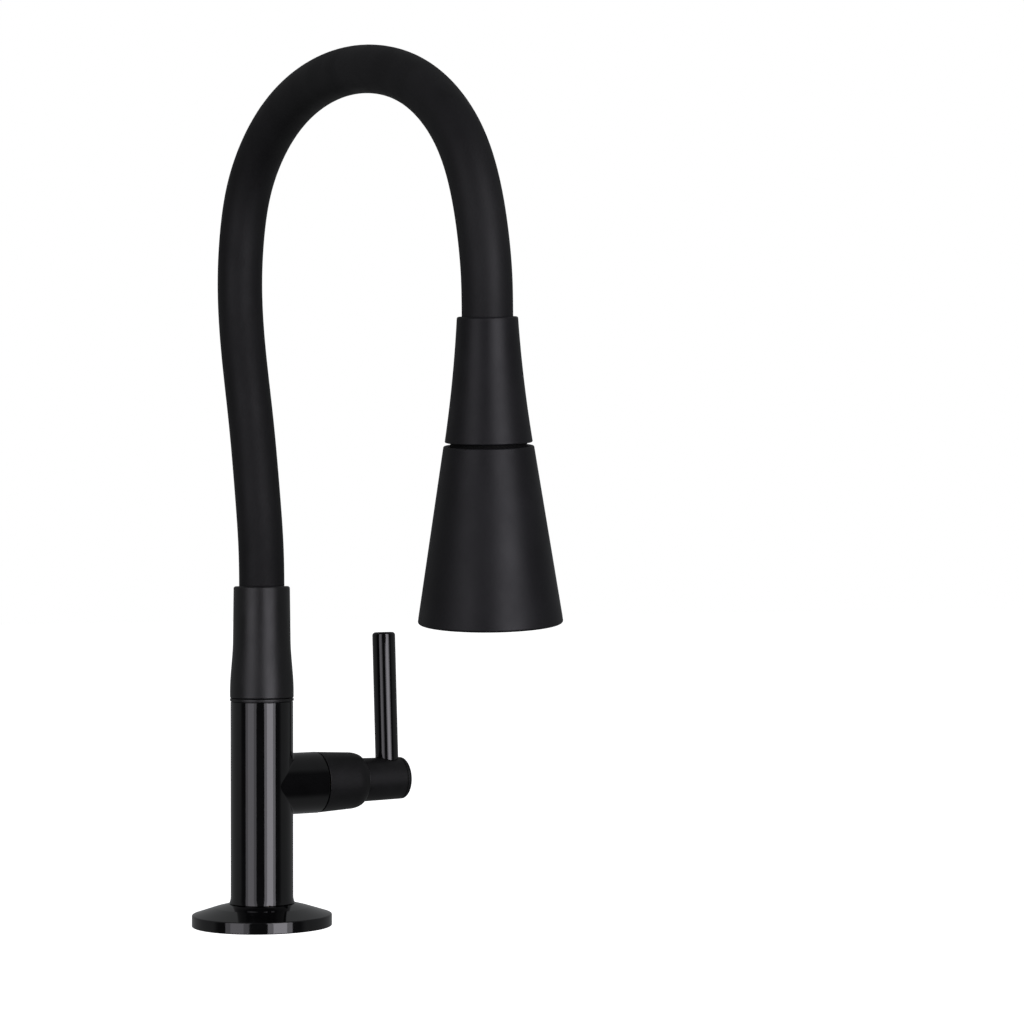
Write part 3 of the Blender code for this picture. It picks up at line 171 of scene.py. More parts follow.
# Spray head, in radii and in lengths down its axis
CONE_RADIUS = 13.8 * MM
CONE_FOOT_RADIUS = 19.95 * MM
GROOVE_RADIUS = 17.4 * MM
SHELL_RADIUS = 20.5 * MM
SHELL_FOOT_RADIUS = 33.2 * MM
SHELL_WALL = 2.6 * MM
UPPER_CONE = 56.6 * MM
CONE_CURVE = 0.85  # how much the cone's side bows inwards, per metre
CONE_STRAIGHT = 3.0 * MM
CONE_BORE = 12.3 * MM
CONE_WEB_TOP = 33.3 * MM
CONE_WEB_FOOT = 38.3 * MM
CONE_WEB_HOLE = 7.9 * MM
SHELL_TOP = UPPER_CONE + 1.6 * MM
SHELL_LENGTH = 80.6 * MM
SHELL_FOOT = SHELL_TOP + SHELL_LENGTH
SHELL_HOLE = 10.3 * MM
FACE = SHELL_FOOT - 2.6 * MM
PLATE_THICKNESS = 3.4 * MM
PLATE_HOLE = 11.4 * MM
PLATE_EDGE = 2.9 * MM  # from the shell's outside
MAT_THICKNESS = 2 * MM
AERATOR_HOLE = 7.0 * MM
AERATOR_LENGTH = 18 * MM
SCREEN_RADIUS = 6.7 * MM

joints = {joint["name"]: joint for joint in frame["joints"]}
valve_height = joints["handle_turn"]["pos_m"][2]
head_top = Vector(joints["spray_head_turn"]["pos_m"])
lower_bend = Vector(joints["neck_lower_bend"]["pos_m"])
crown_bend = Vector(joints["neck_crown_bend"]["pos_m"])


# ---------------------------------------------------------------- materials


class Shader:
    """A Principled material, and the noises that vary it. Sizes are in metres on the surface."""

    def __init__(self, name, roughness, metallic=0.0, **sockets):
        self.material = bpy.data.materials.new(name)
        self.material.use_nodes = True
        self.tree = self.material.node_tree
        self.shader = self.tree.nodes["Principled BSDF"]
        self.shader.inputs["Roughness"].default_value = roughness
        self.shader.inputs["Metallic"].default_value = metallic
        for socket, value in sockets.items():
            self.shader.inputs[socket.replace("_", " ")].default_value = value
        self.coordinates = self.tree.nodes.new("ShaderNodeTexCoord").outputs["Object"]

    def noise(self, size, detail=3.0, stretch=(1, 1, 1), roughness=0.55):
        mapping = self.tree.nodes.new("ShaderNodeMapping")
        mapping.inputs["Scale"].default_value = [1 / (size * s) for s in stretch]
        noise = self.tree.nodes.new("ShaderNodeTexNoise")
        noise.inputs["Scale"].default_value = 1.0
        noise.inputs["Detail"].default_value = detail
        noise.inputs["Roughness"].default_value = roughness
        self.tree.links.new(self.coordinates, mapping.inputs["Vector"])
        self.tree.links.new(mapping.outputs["Vector"], noise.inputs["Vector"])
        return noise.outputs["Fac"]

    def spread(self, value, low, high, start=0.35, end=0.65):
        """Maps a noise's middle range to low..high."""
        node = self.tree.nodes.new("ShaderNodeMapRange")
        node.interpolation_type = "SMOOTHSTEP"
        node.inputs["From Min"].default_value = start
        node.inputs["From Max"].default_value = end
        node.inputs["To Min"].default_value = low
        node.inputs["To Max"].default_value = high
        self.tree.links.new(value, node.inputs["Value"])
        return node.outputs["Result"]

    def add(self, a, b):
        node = self.tree.nodes.new("ShaderNodeMath")
        node.operation = "ADD"
        self.tree.links.new(a, node.inputs[0])
        self.tree.links.new(b, node.inputs[1])
        return node.outputs[0]

    def colours(self, value, first, second, start=0.35, end=0.65):
        ramp = self.tree.nodes.new("ShaderNodeValToRGB")
        ramp.color_ramp.elements[0].position = start
        ramp.color_ramp.elements[0].color = (*first, 1)
        ramp.color_ramp.elements[1].position = end
        ramp.color_ramp.elements[1].color = (*second, 1)
        self.tree.links.new(value, ramp.inputs["Fac"])
        self.tree.links.new(ramp.outputs["Color"], self.shader.inputs["Base Color"])

    def roughen(self, value):
        self.tree.links.new(value, self.shader.inputs["Roughness"])

    def bump(self, *layers):
        """Layers of (height, distance), the first at the bottom."""
        below = None
        for height, distance in layers:
            node = self.tree.nodes.new("ShaderNodeBump")
            node.inputs["Strength"].default_value = 1.0
            node.inputs["Distance"].default_value = distance
            self.tree.links.new(height, node.inputs["Height"])
            if below:
                self.tree.links.new(below, node.inputs["Normal"])
            below = node.outputs["Normal"]
        self.tree.links.new(below, self.shader.inputs["Normal"])


def gloss_black():
    """Gloss coating: nearly flat, with a faint orange peel and traces of wiping."""
    made = Shader("gloss_black", 0.06)
    made.colours(made.noise(9 * MM, 4), (0.0022, 0.0022, 0.0024), (0.0034, 0.0034, 0.0037))
    wiped = made.spread(made.noise(30 * MM, 3, (1, 1, 0.25)), 0.045, 0.085)
    specks = made.spread(made.noise(0.5 * MM, 2), 0.0, 0.05, 0.6, 0.75)
    made.roughen(made.add(wiped, specks))
    made.bump((made.noise(2.6 * MM, 1), 0.004 * MM), (made.noise(0.35 * MM, 2), 0.0006 * MM))
    return made.material


def satin_black():
    """Satin coating on the handle, duller than the column's."""
    made = Shader("satin_black", 0.42, Specular_IOR_Level=0.22)
    made.colours(made.noise(8 * MM, 4), (0.0064, 0.0064, 0.0066), (0.0086, 0.0086, 0.0089))
    cloud = made.spread(made.noise(18 * MM, 3), 0.38, 0.45)
    grain = made.spread(made.noise(0.3 * MM, 2), 0.0, 0.05)
    made.roughen(made.add(cloud, grain))
    made.bump((made.noise(0.3 * MM, 3), 0.004 * MM), (made.noise(0.1 * MM, 2), 0.002 * MM))
    return made.material


def matt_black():
    """Matt coating with a fine, even grain."""
    made = Shader("matt_black", 0.38, Specular_IOR_Level=0.45)
    made.colours(made.noise(14 * MM, 4), (0.0028, 0.0028, 0.0031), (0.0042, 0.0042, 0.0046))
    cloud = made.spread(made.noise(22 * MM, 3), 0.35, 0.41)
    grain = made.spread(made.noise(0.25 * MM, 2), 0.0, 0.06)
    made.roughen(made.add(cloud, grain))
    made.bump((made.noise(0.28 * MM, 3), 0.010 * MM), (made.noise(0.09 * MM, 2), 0.004 * MM))
    return made.material


def head_black_shaded():
    """The collar's matt coating again, for the spray head: its reflection is weakened as painted
    shade, since the lamps fall less strongly on the head, and its colour is a little lighter.
    """
    made = Shader("head_black_shaded", 0.46, Specular_IOR_Level=0.2)
    made.colours(made.noise(16 * MM, 4), (0.0058, 0.0057, 0.0066), (0.0078, 0.0077, 0.0088))
    cloud = made.spread(made.noise(24 * MM, 4), 0.4, 0.48)
    grain = made.spread(made.noise(0.28 * MM, 2), 0.0, 0.06)
    made.roughen(made.add(cloud, grain))
    made.bump((made.noise(0.3 * MM, 3), 0.012 * MM), (made.noise(0.1 * MM, 2), 0.004 * MM))
    return made.material


def sleeve_rubber():
    """Moulded rubber: dull, with a soft bloom that follows its length."""
    made = Shader("sleeve_rubber", 0.6, Specular_IOR_Level=0.2)
    bloom = made.noise(18 * MM, 5, (1, 1, 2.5))
    made.colours(bloom, (0.0058, 0.0058, 0.0063), (0.0088, 0.0088, 0.0094))
    cloud = made.spread(made.noise(26 * MM, 3, (1, 1, 2)), 0.5, 0.6)
    grain = made.spread(made.noise(0.3 * MM, 3), 0.0, 0.07)
    made.roughen(made.add(cloud, grain))
    made.bump((made.noise(1.6 * MM, 2), 0.006 * MM), (made.noise(0.16 * MM, 3), 0.008 * MM))
    return made.material


def seal_rubber():
    made = Shader("seal_rubber", 0.65)
    made.colours(made.noise(5 * MM, 4), (0.016, 0.016, 0.016), (0.026, 0.026, 0.026))
    made.roughen(made.spread(made.noise(2 * MM, 3), 0.55, 0.75))
    made.bump((made.noise(0.3 * MM, 3), 0.01 * MM))
    return made.material


def brass():
    """Turned brass, with fine tool marks and a little tarnish."""
    made = Shader("brass", 0.28, 1.0)
    made.colours(made.noise(7 * MM, 5), (0.66, 0.46, 0.2), (0.78, 0.58, 0.28))
    marks = made.noise(0.5 * MM, 2, (40, 40, 0.4))
    worn = made.spread(marks, 0.18, 0.3)
    tarnish = made.spread(made.noise(4 * MM, 4), 0.0, 0.14)
    made.roughen(made.add(worn, tarnish))
    made.bump((marks, 0.006 * MM))
    return made.material


def steel():
    """Stainless steel, brushed round."""
    made = Shader("steel", 0.3, 1.0)
    made.colours(made.noise(6 * MM, 4), (0.5, 0.49, 0.48), (0.6, 0.59, 0.575))
    marks = made.noise(0.4 * MM, 2, (30, 30, 0.4))
    made.roughen(made.spread(marks, 0.24, 0.4))
    made.bump((marks, 0.005 * MM))
    return made.material


def ceramic():
    made = Shader("ceramic", 0.15)
    made.colours(made.noise(2 * MM, 5), (0.8, 0.79, 0.75), (0.87, 0.86, 0.82))
    made.roughen(made.spread(made.noise(3 * MM, 3), 0.1, 0.22))
    made.bump((made.noise(0.2 * MM, 2), 0.001 * MM))
    return made.material


def black_plastic():
    """Injection-moulded plastic with a fine spark-eroded grain."""
    made = Shader("black_plastic", 0.45)
    made.colours(made.noise(8 * MM, 4), (0.018, 0.018, 0.019), (0.026, 0.026, 0.028))
    made.roughen(made.spread(made.noise(0.3 * MM, 3), 0.36, 0.52))
    made.bump((made.noise(0.22 * MM, 3), 0.012 * MM))
    return made.material


def painted_shade_black():
    """Dull and nearly black: painted shade for what lies deep in the grooves and in the gap under
    the collar.
    """
    made = Shader("painted_shade_black", 0.7, Specular_IOR_Level=0.12)
    made.colours(made.noise(6 * MM, 4), (0.0012, 0.0012, 0.0013), (0.0024, 0.0024, 0.0026))
    made.roughen(made.spread(made.noise(0.3 * MM, 3), 0.62, 0.8))
    made.bump((made.noise(0.22 * MM, 3), 0.012 * MM))
    return made.material


def silicone():
    made = Shader("silicone", 0.5, Specular_IOR_Level=0.4)
    made.colours(made.noise(6 * MM, 4), (0.075, 0.075, 0.08), (0.11, 0.11, 0.115))
    made.roughen(made.spread(made.noise(1.5 * MM, 3), 0.42, 0.6))
    made.bump((made.noise(0.4 * MM, 3), 0.008 * MM))
    return made.material


FINISHES = {
    "gloss_black": gloss_black(),
    "satin_black": satin_black(),
    "matt_black": matt_black(),
    "head_black_shaded": head_black_shaded(),
    "sleeve_rubber": sleeve_rubber(),
    "seal_rubber": seal_rubber(),
    "brass": brass(),
    "steel": steel(),
    "ceramic": ceramic(),
    "black_plastic": black_plastic(),
    "painted_shade_black": painted_shade_black(),
    "silicone": silicone(),
}
# Brass pieces that show through the narrow gap under the collar get the nearly black finish instead
# of brass: painted shade for the shade in that gap
PAINTED_SHADE_PARTS = ("spigot_nut", "swivel_spigot", "lower_ferrule")
for part in frame["record"]["subparts"]:
    slots = frame["nodes"][part["node"]].data.materials
    slots.clear()
    # painted shade in place of brass for the pieces in the gap under the collar
    finish = "painted_shade_black" if part["node"] in PAINTED_SHADE_PARTS else part["material_slot"]
    slots.append(FINISHES[finish])


# ---------------------------------------------------------------- modelling


def circle(sides):
    """Directions evenly round a circle, as rows of X and Y."""
    angles = np.arange(sides) * math.tau / sides
    return np.stack([np.cos(angles), np.sin(angles)], 1)


def level_ring(across, radius, z):
    """A level ring of points, at a radius or a column of radii."""
    return np.column_stack([radius * across, np.full(len(across), z)])


class Shape:
    """Vertices and faces, gathered from several stretches of surface."""

    def __init__(self):
        self.verts = []
        self.faces = []

    def grid(self, rings, closed_across=False):
        """Quads between rings of points. Each ring is closed in itself."""
        start = len(self.verts)
        rings = [np.asarray(ring, float) for ring in rings]
        sides = len(rings[0])
        for ring in rings:
            self.verts += [tuple(p) for p in ring]
        count = len(rings)
        for i in range(count if closed_across else count - 1):
            a = start + i * sides
            b = start + (i + 1) % count * sides
            for k in range(sides):
                l = (k + 1) % sides
                self.faces.append((a + k, a + l, b + l, b + k))
        return self

    def turn(self, outline, sides=ROUND, steps=5):
        """A closed outline turned about Z."""
        points = rounded(outline, steps)
        following = points[1:] + points[:1]
        area = sum(p[0] * q[1] - q[0] * p[1] for p, q in zip(points, following))
        if area < 0:
            points.reverse()
        across = circle(sides)
        return self.grid([level_ring(across, r, z) for r, z in points], True)

    def scatter(self, outline, places, sides, steps=5):
        """A copy of a turned outline at each place."""
        for x, y in places:
            start = len(self.verts)
            self.turn(outline, sides, steps)
            self.verts[start:] = [(px + x, py + y, pz) for px, py, pz in self.verts[start:]]
        return self

    def mesh(self, name, place=None):
        bm = bmesh.new()
        verts = [bm.verts.new(v) for v in self.verts]
        for face in self.faces:
            corners = [verts[i] for i in face]
            if len(set(self.verts[i] for i in face)) > 2:
                bm.faces.new(corners)
        bmesh.ops.remove_doubles(bm, verts=bm.verts, dist=2e-7)
        bmesh.ops.dissolve_degenerate(bm, edges=bm.edges, dist=1e-7)
        mesh = bpy.data.meshes.new(name)
        bm.to_mesh(mesh)
        bm.free()
        if place:
            mesh.transform(place)
        return mesh


def rounded(outline, steps=5):
    """The outline's points, with an arc at each corner that names a fillet.

    A point on each side of the arc keeps the shading of the straight parts flat.
    """
    points = []
    for i, (radius, height, *fillet) in enumerate(outline):
        corner = Vector((radius, height))
        if not fillet:
            points.append(corner)
            continue
        back = Vector(outline[i - 1][:2]) - corner
        on = Vector(outline[(i + 1) % len(outline)][:2]) - corner
        half = back.angle(on) / 2
        reach = min(fillet[0] / math.tan(half), 0.45 * back.length, 0.45 * on.length)
        bend = reach * math.tan(half)
        middle = corner + (back.normalized() + on.normalized()).normalized() * bend / math.sin(half)
        start = corner + back.normalized() * reach - middle
        sweep = start.angle_signed(corner + on.normalized() * reach - middle)
        beside = min(0.15 * MM, 0.05 * back.length, 0.05 * on.length)
        points.append(middle + start + back.normalized() * beside)
        for step in range(steps + 1):
            points.append(middle + Matrix.Rotation(-sweep * step / steps, 2) @ start)
        points.append(points[-1] + on.normalized() * beside)
    return [tuple(p) for p in points]


def along_x():
    return Matrix.Translation((0, 0, valve_height)) @ Matrix.Rotation(math.pi / 2, 4, "Y")


def head_place():
    """From lengths down the head's axis, as negative heights, to the row frame."""
    lean, towards = math.radians(HEAD_LEAN), math.radians(HEAD_LEAN_TOWARDS)
    out = math.sin(lean)
    axis = Vector((out * math.cos(towards), out * math.sin(towards), -math.cos(lean)))
    turn = Vector((0, 0, -1)).rotation_difference(axis)
    return Matrix.Translation(head_top) @ turn.to_matrix().to_4x4()


def piece(name, mesh, slot, *nodes, body=None, sharp=35, finish=None):
    """Finishes a mesh and puts it on the body of the CAD nodes that it stands for."""
    mesh.shade_smooth()
    mesh.set_sharp_from_angle(angle=math.radians(sharp))
    mesh.materials.clear()
    mesh.materials.append(FINISHES[finish or slot])
    obj = bpy.data.objects.new(name, mesh)
    bpy.context.scene.collection.objects.link(obj)
    if body is None:
        body = frame["nodes"][nodes[0]]["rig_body"]
    if body:
        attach(obj, body)
    if nodes:
        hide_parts(*nodes)
    return obj


def turned(name, outline, slot, *nodes, place=None, sides=ROUND, steps=5, finish=None):
    """A piece turned from an outline, moved to its place."""
    mesh = Shape().turn(outline, sides, steps).mesh(name, place)
    return piece(name, mesh, slot, *nodes, finish=finish)


def carve(obj, cutters):
    """Cuts closed shapes out of a piece for good."""
    for cutter in cutters:
        tool = bpy.data.objects.new("cutter", cutter)
        bpy.context.scene.collection.objects.link(tool)
        cut = obj.modifiers.new("cut", "BOOLEAN")
        cut.operation = "DIFFERENCE"
        cut.solver = "EXACT"
        cut.object = tool
        bpy.context.view_layer.update()
        depsgraph = bpy.context.evaluated_depsgraph_get()
        done = bpy.data.meshes.new_from_object(obj.evaluated_get(depsgraph))
        obj.modifiers.clear()
        obj.data = done
        bpy.data.objects.remove(tool)
    obj.data.set_sharp_from_angle(angle=math.radians(35))


# ---------------------------------------------------------------- base and deck fastening


def base_flange():
    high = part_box("base_flange")[1]
    radius, top = high.x, high.z
    hole = SHANK_HOLE
    outline = [
        (hole, 0),
        (radius - 14.1 * MM, 0),
        (radius - 14.1 * MM, 2.5 * MM),
        (radius - 2.5 * MM, 2.5 * MM),
        (radius - 2.5 * MM, 0),
        (radius, 0, 0.4 * MM),
        (radius, 5.8 * MM, 0.7 * MM),
        (24.0 * MM, 9.6 * MM, 3.0 * MM),
        (16.75 * MM, top, 0.15 * MM),
        (hole, top),
    ]
    turned("flange", outline, "gloss_black", "base_flange")
    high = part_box("base_gasket")[1]
    outer, inner, edge = high.x, high.x - 11 * MM, 0.3 * MM
    outline = [
        (inner, 0, edge),
        (outer, 0, edge),
        (outer, high.z, edge),
        (inner, high.z, edge),
    ]
    turned("gasket", outline, "seal_rubber", "base_gasket", sides=96, steps=3)


def thread(shape, radius, depth, pitch, low, high, sides=64):
    """A helical thread's outside, from low to high, running out at both ends."""
    rows = round((high - low) / pitch * 8)
    angles = np.arange(sides) * math.tau / sides
    across = circle(sides)
    rings = []
    for z in np.linspace(low, high, rows + 1):
        phase = (z / pitch - angles / math.tau) % 1.0
        cut = np.clip(np.abs(phase - 0.5) * 2 * 1.3 - 0.15, 0, 1) * depth
        fade = np.clip(min(z - low, high - z) / pitch, 0, 1)
        rings.append(level_ring(across, (radius - cut * fade)[:, None], z))
    shape.grid(rings)


def shank():
    """The threaded tail, chamfered at both ends outside and in."""
    low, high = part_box("mounting_shank")
    crest, end = high.x - 0.02 * MM, 1.0 * MM
    first, last = low.z + end, high.z - end
    shape = Shape()
    thread(shape, crest, THREAD_DEPTH, THREAD_PITCH, first, last)
    across = circle(64)
    narrow = crest - 0.9 * MM
    shape.grid([level_ring(across, narrow, low.z), level_ring(across, crest, first)])
    shape.grid([level_ring(across, crest, last), level_ring(across, narrow, high.z)])
    bore, chamfer = SHANK_BORE, 0.5 * MM
    inner = [(narrow, high.z), (bore + chamfer, high.z), (bore, high.z - chamfer)]
    inner += [(bore, low.z + chamfer), (bore + chamfer, low.z), (narrow, low.z)]
    shape.grid([level_ring(across, r, z) for r, z in inner])
    piece("threaded_shank", shape.mesh("threaded_shank"), "brass", "mounting_shank")


def deck_clamp():
    """The washers and the nut that draw the faucet down on the deck."""
    hole = SHANK_HOLE
    for name, node, slot, edge in (
        ("rubber_washer", "deck_rubber_washer", "seal_rubber", 0.4 * MM),
        ("steel_washer", "deck_steel_washer", "steel", 0.25 * MM),
    ):
        low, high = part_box(node)
        outer = high.x
        outline = [(hole, low.z, edge), (outer, low.z, edge)]
        outline += [(outer, high.z, edge), (hole, high.z, edge)]
        turned(name, outline, slot, node, sides=96, steps=3)
    low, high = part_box("shank_nut")
    corner = max(high.x, high.y)
    sides = 96
    angles = np.arange(sides) * math.tau / sides
    across = circle(sides)
    turn = 0.0 if high.x > high.y else math.pi / 6
    flat = (angles - turn) % (math.pi / 3) - math.pi / 6
    hexagon = corner * math.cos(math.pi / 6) / np.cos(flat)
    chamfer, chamfer_depth, lead = 1.3 * MM, 2.2 * MM, 0.6 * MM
    rings = []
    rows = [(hole + lead, low.z, 0), (None, low.z, 1.0)]
    rows += [(None, low.z + chamfer * t, 1.0 - t) for t in np.linspace(0.1, 1, 8)]
    rows += [(None, high.z - chamfer * t, 1.0 - t) for t in np.linspace(1, 0.1, 8)]
    rows += [(None, high.z, 1.0), (hole + lead, high.z, 0), (hole, high.z - lead, 0)]
    rows += [(hole, low.z + lead, 0)]
    for radius, z, chamfered in rows:
        if radius is None:
            cone = corner - chamfer_depth * chamfered
            radius = np.minimum(hexagon, cone)[:, None]
        rings.append(level_ring(across, radius, z))
    shape = Shape().grid(rings, True)
    piece("lock_nut", shape.mesh("lock_nut"), "brass", "shank_nut", sharp=28)


# ---------------------------------------------------------------- column and valve arm


def column():
    """The column and its arm, run together by a small rolling fillet."""
    low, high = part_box("column_body")
    radius, arm, blend = COLUMN_RADIUS, ARM_RADIUS, ARM_FILLET
    foot, top, end = low.z, high.z, high.x
    quarter = 40
    phis = np.linspace(-math.pi / 2, math.pi / 2, 2 * quarter + 1)
    across = (arm + blend) * np.sin(phis)
    out = np.sqrt((radius + blend) ** 2 - across**2)
    front = np.arctan2(across, out)
    rise = (arm + blend) * np.cos(phis)
    rear = np.linspace(front[-1], math.tau + front[0], 65)[1:-1]
    thetas = np.concatenate([front, rear])
    middle = np.concatenate([rise, np.zeros(len(rear))])

    def ring(r, z):
        z = np.broadcast_to(z, thetas.shape)
        return np.column_stack([r * np.cos(thetas), r * np.sin(thetas), z])

    flare, ease = COLUMN_FLARE, COLUMN_FLARE_HEIGHT
    shape = Shape()
    lower = [ring(POLE, foot + SHANK_SOCKET), ring(SHANK_HOLE, foot + SHANK_SOCKET)]
    lower += [ring(SHANK_HOLE, foot), ring(radius + flare - 0.12 * MM, foot)]
    for t in np.linspace(0.04, 1, 9):
        lower.append(ring(radius + flare * (1 - t) ** 2, foot + ease * t))
    start = foot + ease
    for t in np.linspace(0, 1, 15)[1:]:
        lower.append(ring(radius, start + (valve_height - middle - start) * t))
    shape.grid(lower)
    edge = COLUMN_EDGE
    upper = []
    reach = top - edge - valve_height - middle
    for t in np.linspace(0, 1, 13):
        upper.append(ring(radius, valve_height + middle + reach * t))
    for t in np.linspace(0, math.pi / 2, 5)[1:]:
        upper.append(ring(radius - edge + edge * math.cos(t), top - edge + edge * math.sin(t)))
    upper += [ring(SEAT_RADIUS, top), ring(SEAT_RADIUS, top - SEAT_DEPTH)]
    upper += [ring(SPIGOT_HOLE, top - SEAT_DEPTH), ring(SPIGOT_HOLE, top - SPIGOT_DEPTH)]
    upper += [ring(POLE, top - SPIGOT_DEPTH)]
    shape.grid(upper)

    around = np.linspace(-math.pi / 2, 1.5 * math.pi, 4 * quarter + 1)[:-1]
    across = (arm + blend) * np.sin(around)
    up = (arm + blend) * np.cos(around)
    out = np.sqrt((radius + blend) ** 2 - across**2)
    wide, deep = radius + blend, arm + blend
    centre = np.column_stack([out, across, up])
    on_column = np.column_stack([out * radius / wide, across * radius / wide, up])
    on_arm = np.column_stack([out, across * arm / deep, up * arm / deep])
    a, b = (on_column - centre) / blend, (on_arm - centre) / blend
    angle = np.arccos(np.clip((a * b).sum(1), -1, 1))[:, None]
    lift = np.array([0, 0, valve_height])
    rings = []
    for t in np.linspace(0, 1, 7):
        way = (np.sin((1 - t) * angle) * a + np.sin(t * angle) * b) / np.sin(angle)
        rings.append(centre + blend * way + lift)
    begin = rings[-1][:, 0]

    def arm_ring(r, x):
        x = np.broadcast_to(x, around.shape)
        return np.column_stack([x, r * np.sin(around), r * np.cos(around)]) + lift

    for t in np.linspace(0, 1, 8)[1:]:
        rings.append(arm_ring(arm, begin + (20 * MM - begin) * t))
    edge = ARM_EDGE
    for x in (24 * MM, 28 * MM, end - edge - 0.1 * MM):
        rings.append(arm_ring(arm, x))
    for t in np.linspace(0, math.pi / 2, 5):
        rings.append(arm_ring(arm - edge + edge * math.cos(t), end - edge + edge * math.sin(t)))
    rings += [arm_ring(ARM_BORE, end), arm_ring(ARM_BORE, ARM_BORE_END)]
    rings += [arm_ring(POLE, ARM_BORE_END)]
    shape.grid(rings)
    piece("column", shape.mesh("column"), "gloss_black", "column_body", sharp=38)


# ---------------------------------------------------------------- handle


def handle():
    """The bell over the valve, the hub on it and the hub's end cap, turned about the arm."""
    satin = {"place": along_x(), "finish": "satin_black"}
    low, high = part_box("handle_bell")
    foot, end = low.x, high.x
    shoulder = end - BELL_SHOULDER
    lip = HUB_RADIUS + GAP
    curve = []
    for t in np.linspace(0, math.pi / 2, 25):
        radius = lip + (BELL_RADIUS - BELL_TAPER - lip) * math.cos(t)
        curve.append((radius, shoulder + BELL_SHOULDER * math.sin(t)))
    outline = [
        (BELL_BORE, foot),
        (BELL_RADIUS, foot, 0.15 * MM),
        *curve,
        (BELL_HOLE, end),
        (BELL_HOLE, end - BELL_END_WALL),
        (BELL_BORE, end - BELL_END_WALL),
    ]
    turned("bell", outline, "gloss_black", "handle_bell", **satin)
    hub_low, hub_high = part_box("lever_hub")
    hub_foot, hub_end = end + GAP, hub_high.x
    edge = 0.25 * MM
    step = hub_foot + 4 * MM
    outline = [
        (HUB_BORE, hub_low.x),
        (HUB_SPIGOT_RADIUS, hub_low.x),
        (HUB_SPIGOT_RADIUS, hub_foot),
        (HUB_RADIUS, hub_foot, edge),
        (HUB_RADIUS - HUB_TAPER, hub_end, edge),
        (HUB_SPIGOT_RADIUS, hub_end),
        (HUB_SPIGOT_RADIUS, hub_end - HUB_RECESS),
        (HUB_COUNTERBORE, hub_end - HUB_RECESS),
        (HUB_COUNTERBORE, step),
        (HUB_BORE, step),
    ]
    turned("hub", outline, "gloss_black", "lever_hub", **satin)
    cap_low, cap_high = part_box("hub_end_cap")
    face, radius = hub_end + GAP, HUB_RADIUS - HUB_TAPER
    outline = [
        (0, cap_low.x),
        (CAP_PLUG, cap_low.x),
        (CAP_PLUG, face),
        (radius, face, edge),
        (radius - 0.1 * MM, cap_high.x, 1.2 * MM),
        (0, cap_high.x),
    ]
    turned("end_cap", outline, "gloss_black", "hub_end_cap", steps=8, **satin)
    lever(hub_foot, hub_end)


def lever(hub_foot, hub_end):
    """The upright rod, coped to the hub."""
    low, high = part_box("lever_rod")
    radius = (high.x - low.x) / 2
    middle = (high.x + low.x) / 2
    top = valve_height + LEVER_TOP
    sides = 96
    angles = np.arange(sides) * math.tau / sides
    share = (middle - hub_foot) / (hub_end - hub_foot)
    seat = HUB_RADIUS - HUB_TAPER * share + 0.12 * MM

    def coped(r, extra=0.0):
        y = r * np.sin(angles)
        z = valve_height + np.sqrt(seat**2 - y**2) + extra
        return np.column_stack([middle + r * np.cos(angles), y, z])

    def level(r, z):
        x = middle + r * np.cos(angles)
        return np.column_stack([x, r * np.sin(angles), np.full(sides, z)])

    rings = [coped(r) for r in (POLE, radius * 0.5, radius - 0.3 * MM)]
    rings.append(coped(radius - 0.08 * MM, 0.06 * MM))
    rings.append(coped(radius, 0.28 * MM))
    foot = rings[-1][:, 2]
    even = valve_height + seat + 2 * MM  # where the rings stop following the hub
    for t in (0.08, 0.5, 1.0):
        ring = level(radius, 0.0)
        ring[:, 2] = foot + (even - foot) * t
        rings.append(ring)
    edge = 1.7 * MM
    for z in np.linspace(even, top - edge - 0.2 * MM, 12)[1:]:
        rings.append(level(radius, z))
    for t in np.linspace(0, math.pi / 2, 10):
        rings.append(level(radius - edge + edge * math.cos(t), top - edge + edge * math.sin(t)))
    rings.append(level(POLE, top))
    valve = Matrix.Translation((0, 0, valve_height))
    lean = valve @ Matrix.Rotation(-math.radians(LEVER_LEAN), 4, "X") @ valve.inverted()
    piece("rod", Shape().grid(rings).mesh("rod", lean), "gloss_black", "lever_rod", sharp=50)


# ---------------------------------------------------------------- swivel ring and collar


def collar():
    """The swivel ring, whose lower lip closes the view into the column, and the collar on it."""
    low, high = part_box("swivel_ring")
    outer, inner = high.x, COLLAR_HOLE
    lip, lip_foot = 15.6 * MM, low.z - 0.22 * MM
    outline = [
        (inner, lip_foot),
        (lip, lip_foot),
        (lip, low.z),
        (outer, low.z, 0.25 * MM),
        (outer, high.z, 0.25 * MM),
        (inner, high.z),
    ]
    turned("ring_under_collar", outline, "matt_black", "swivel_ring", steps=3)
    low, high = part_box("neck_collar")
    foot, top = low.z, high.z
    bore = SLEEVE_RADIUS + GAP
    curve = []
    for t in np.linspace(0, 1, 33):
        eased = t * t * (3 - 2 * t)
        radius = outer + (COLLAR_WAIST - outer) * eased
        curve.append((radius, foot + COLLAR_STRAIGHT + COLLAR_EASE * t))
    outline = [
        (inner, foot),
        (outer, foot, 0.45 * MM),
        *curve,
        (COLLAR_LIP, top, 1.5 * MM),
        (bore, top, 0.3 * MM),
        (bore, foot + COLLAR_FLOOR),
        (inner, foot + COLLAR_FLOOR),
    ]
    turned("collar", outline, "matt_black", "neck_collar", steps=8)


# ---------------------------------------------------------------- gooseneck


def spline_bends(knots, points):
    """The second derivatives of the natural cubic spline through the points."""
    count = len(points)
    steps = np.diff(knots)
    system = np.eye(count)
    right = np.zeros((count, 3))
    for i in range(1, count - 1):
        system[i, i - 1] = steps[i - 1]
        system[i, i] = 2 * (steps[i - 1] + steps[i])
        system[i, i + 1] = steps[i]
        slope_on = (points[i + 1] - points[i]) / steps[i]
        slope_back = (points[i] - points[i - 1]) / steps[i - 1]
        right[i] = 6 * (slope_on - slope_back)
    return np.linalg.solve(system, right)


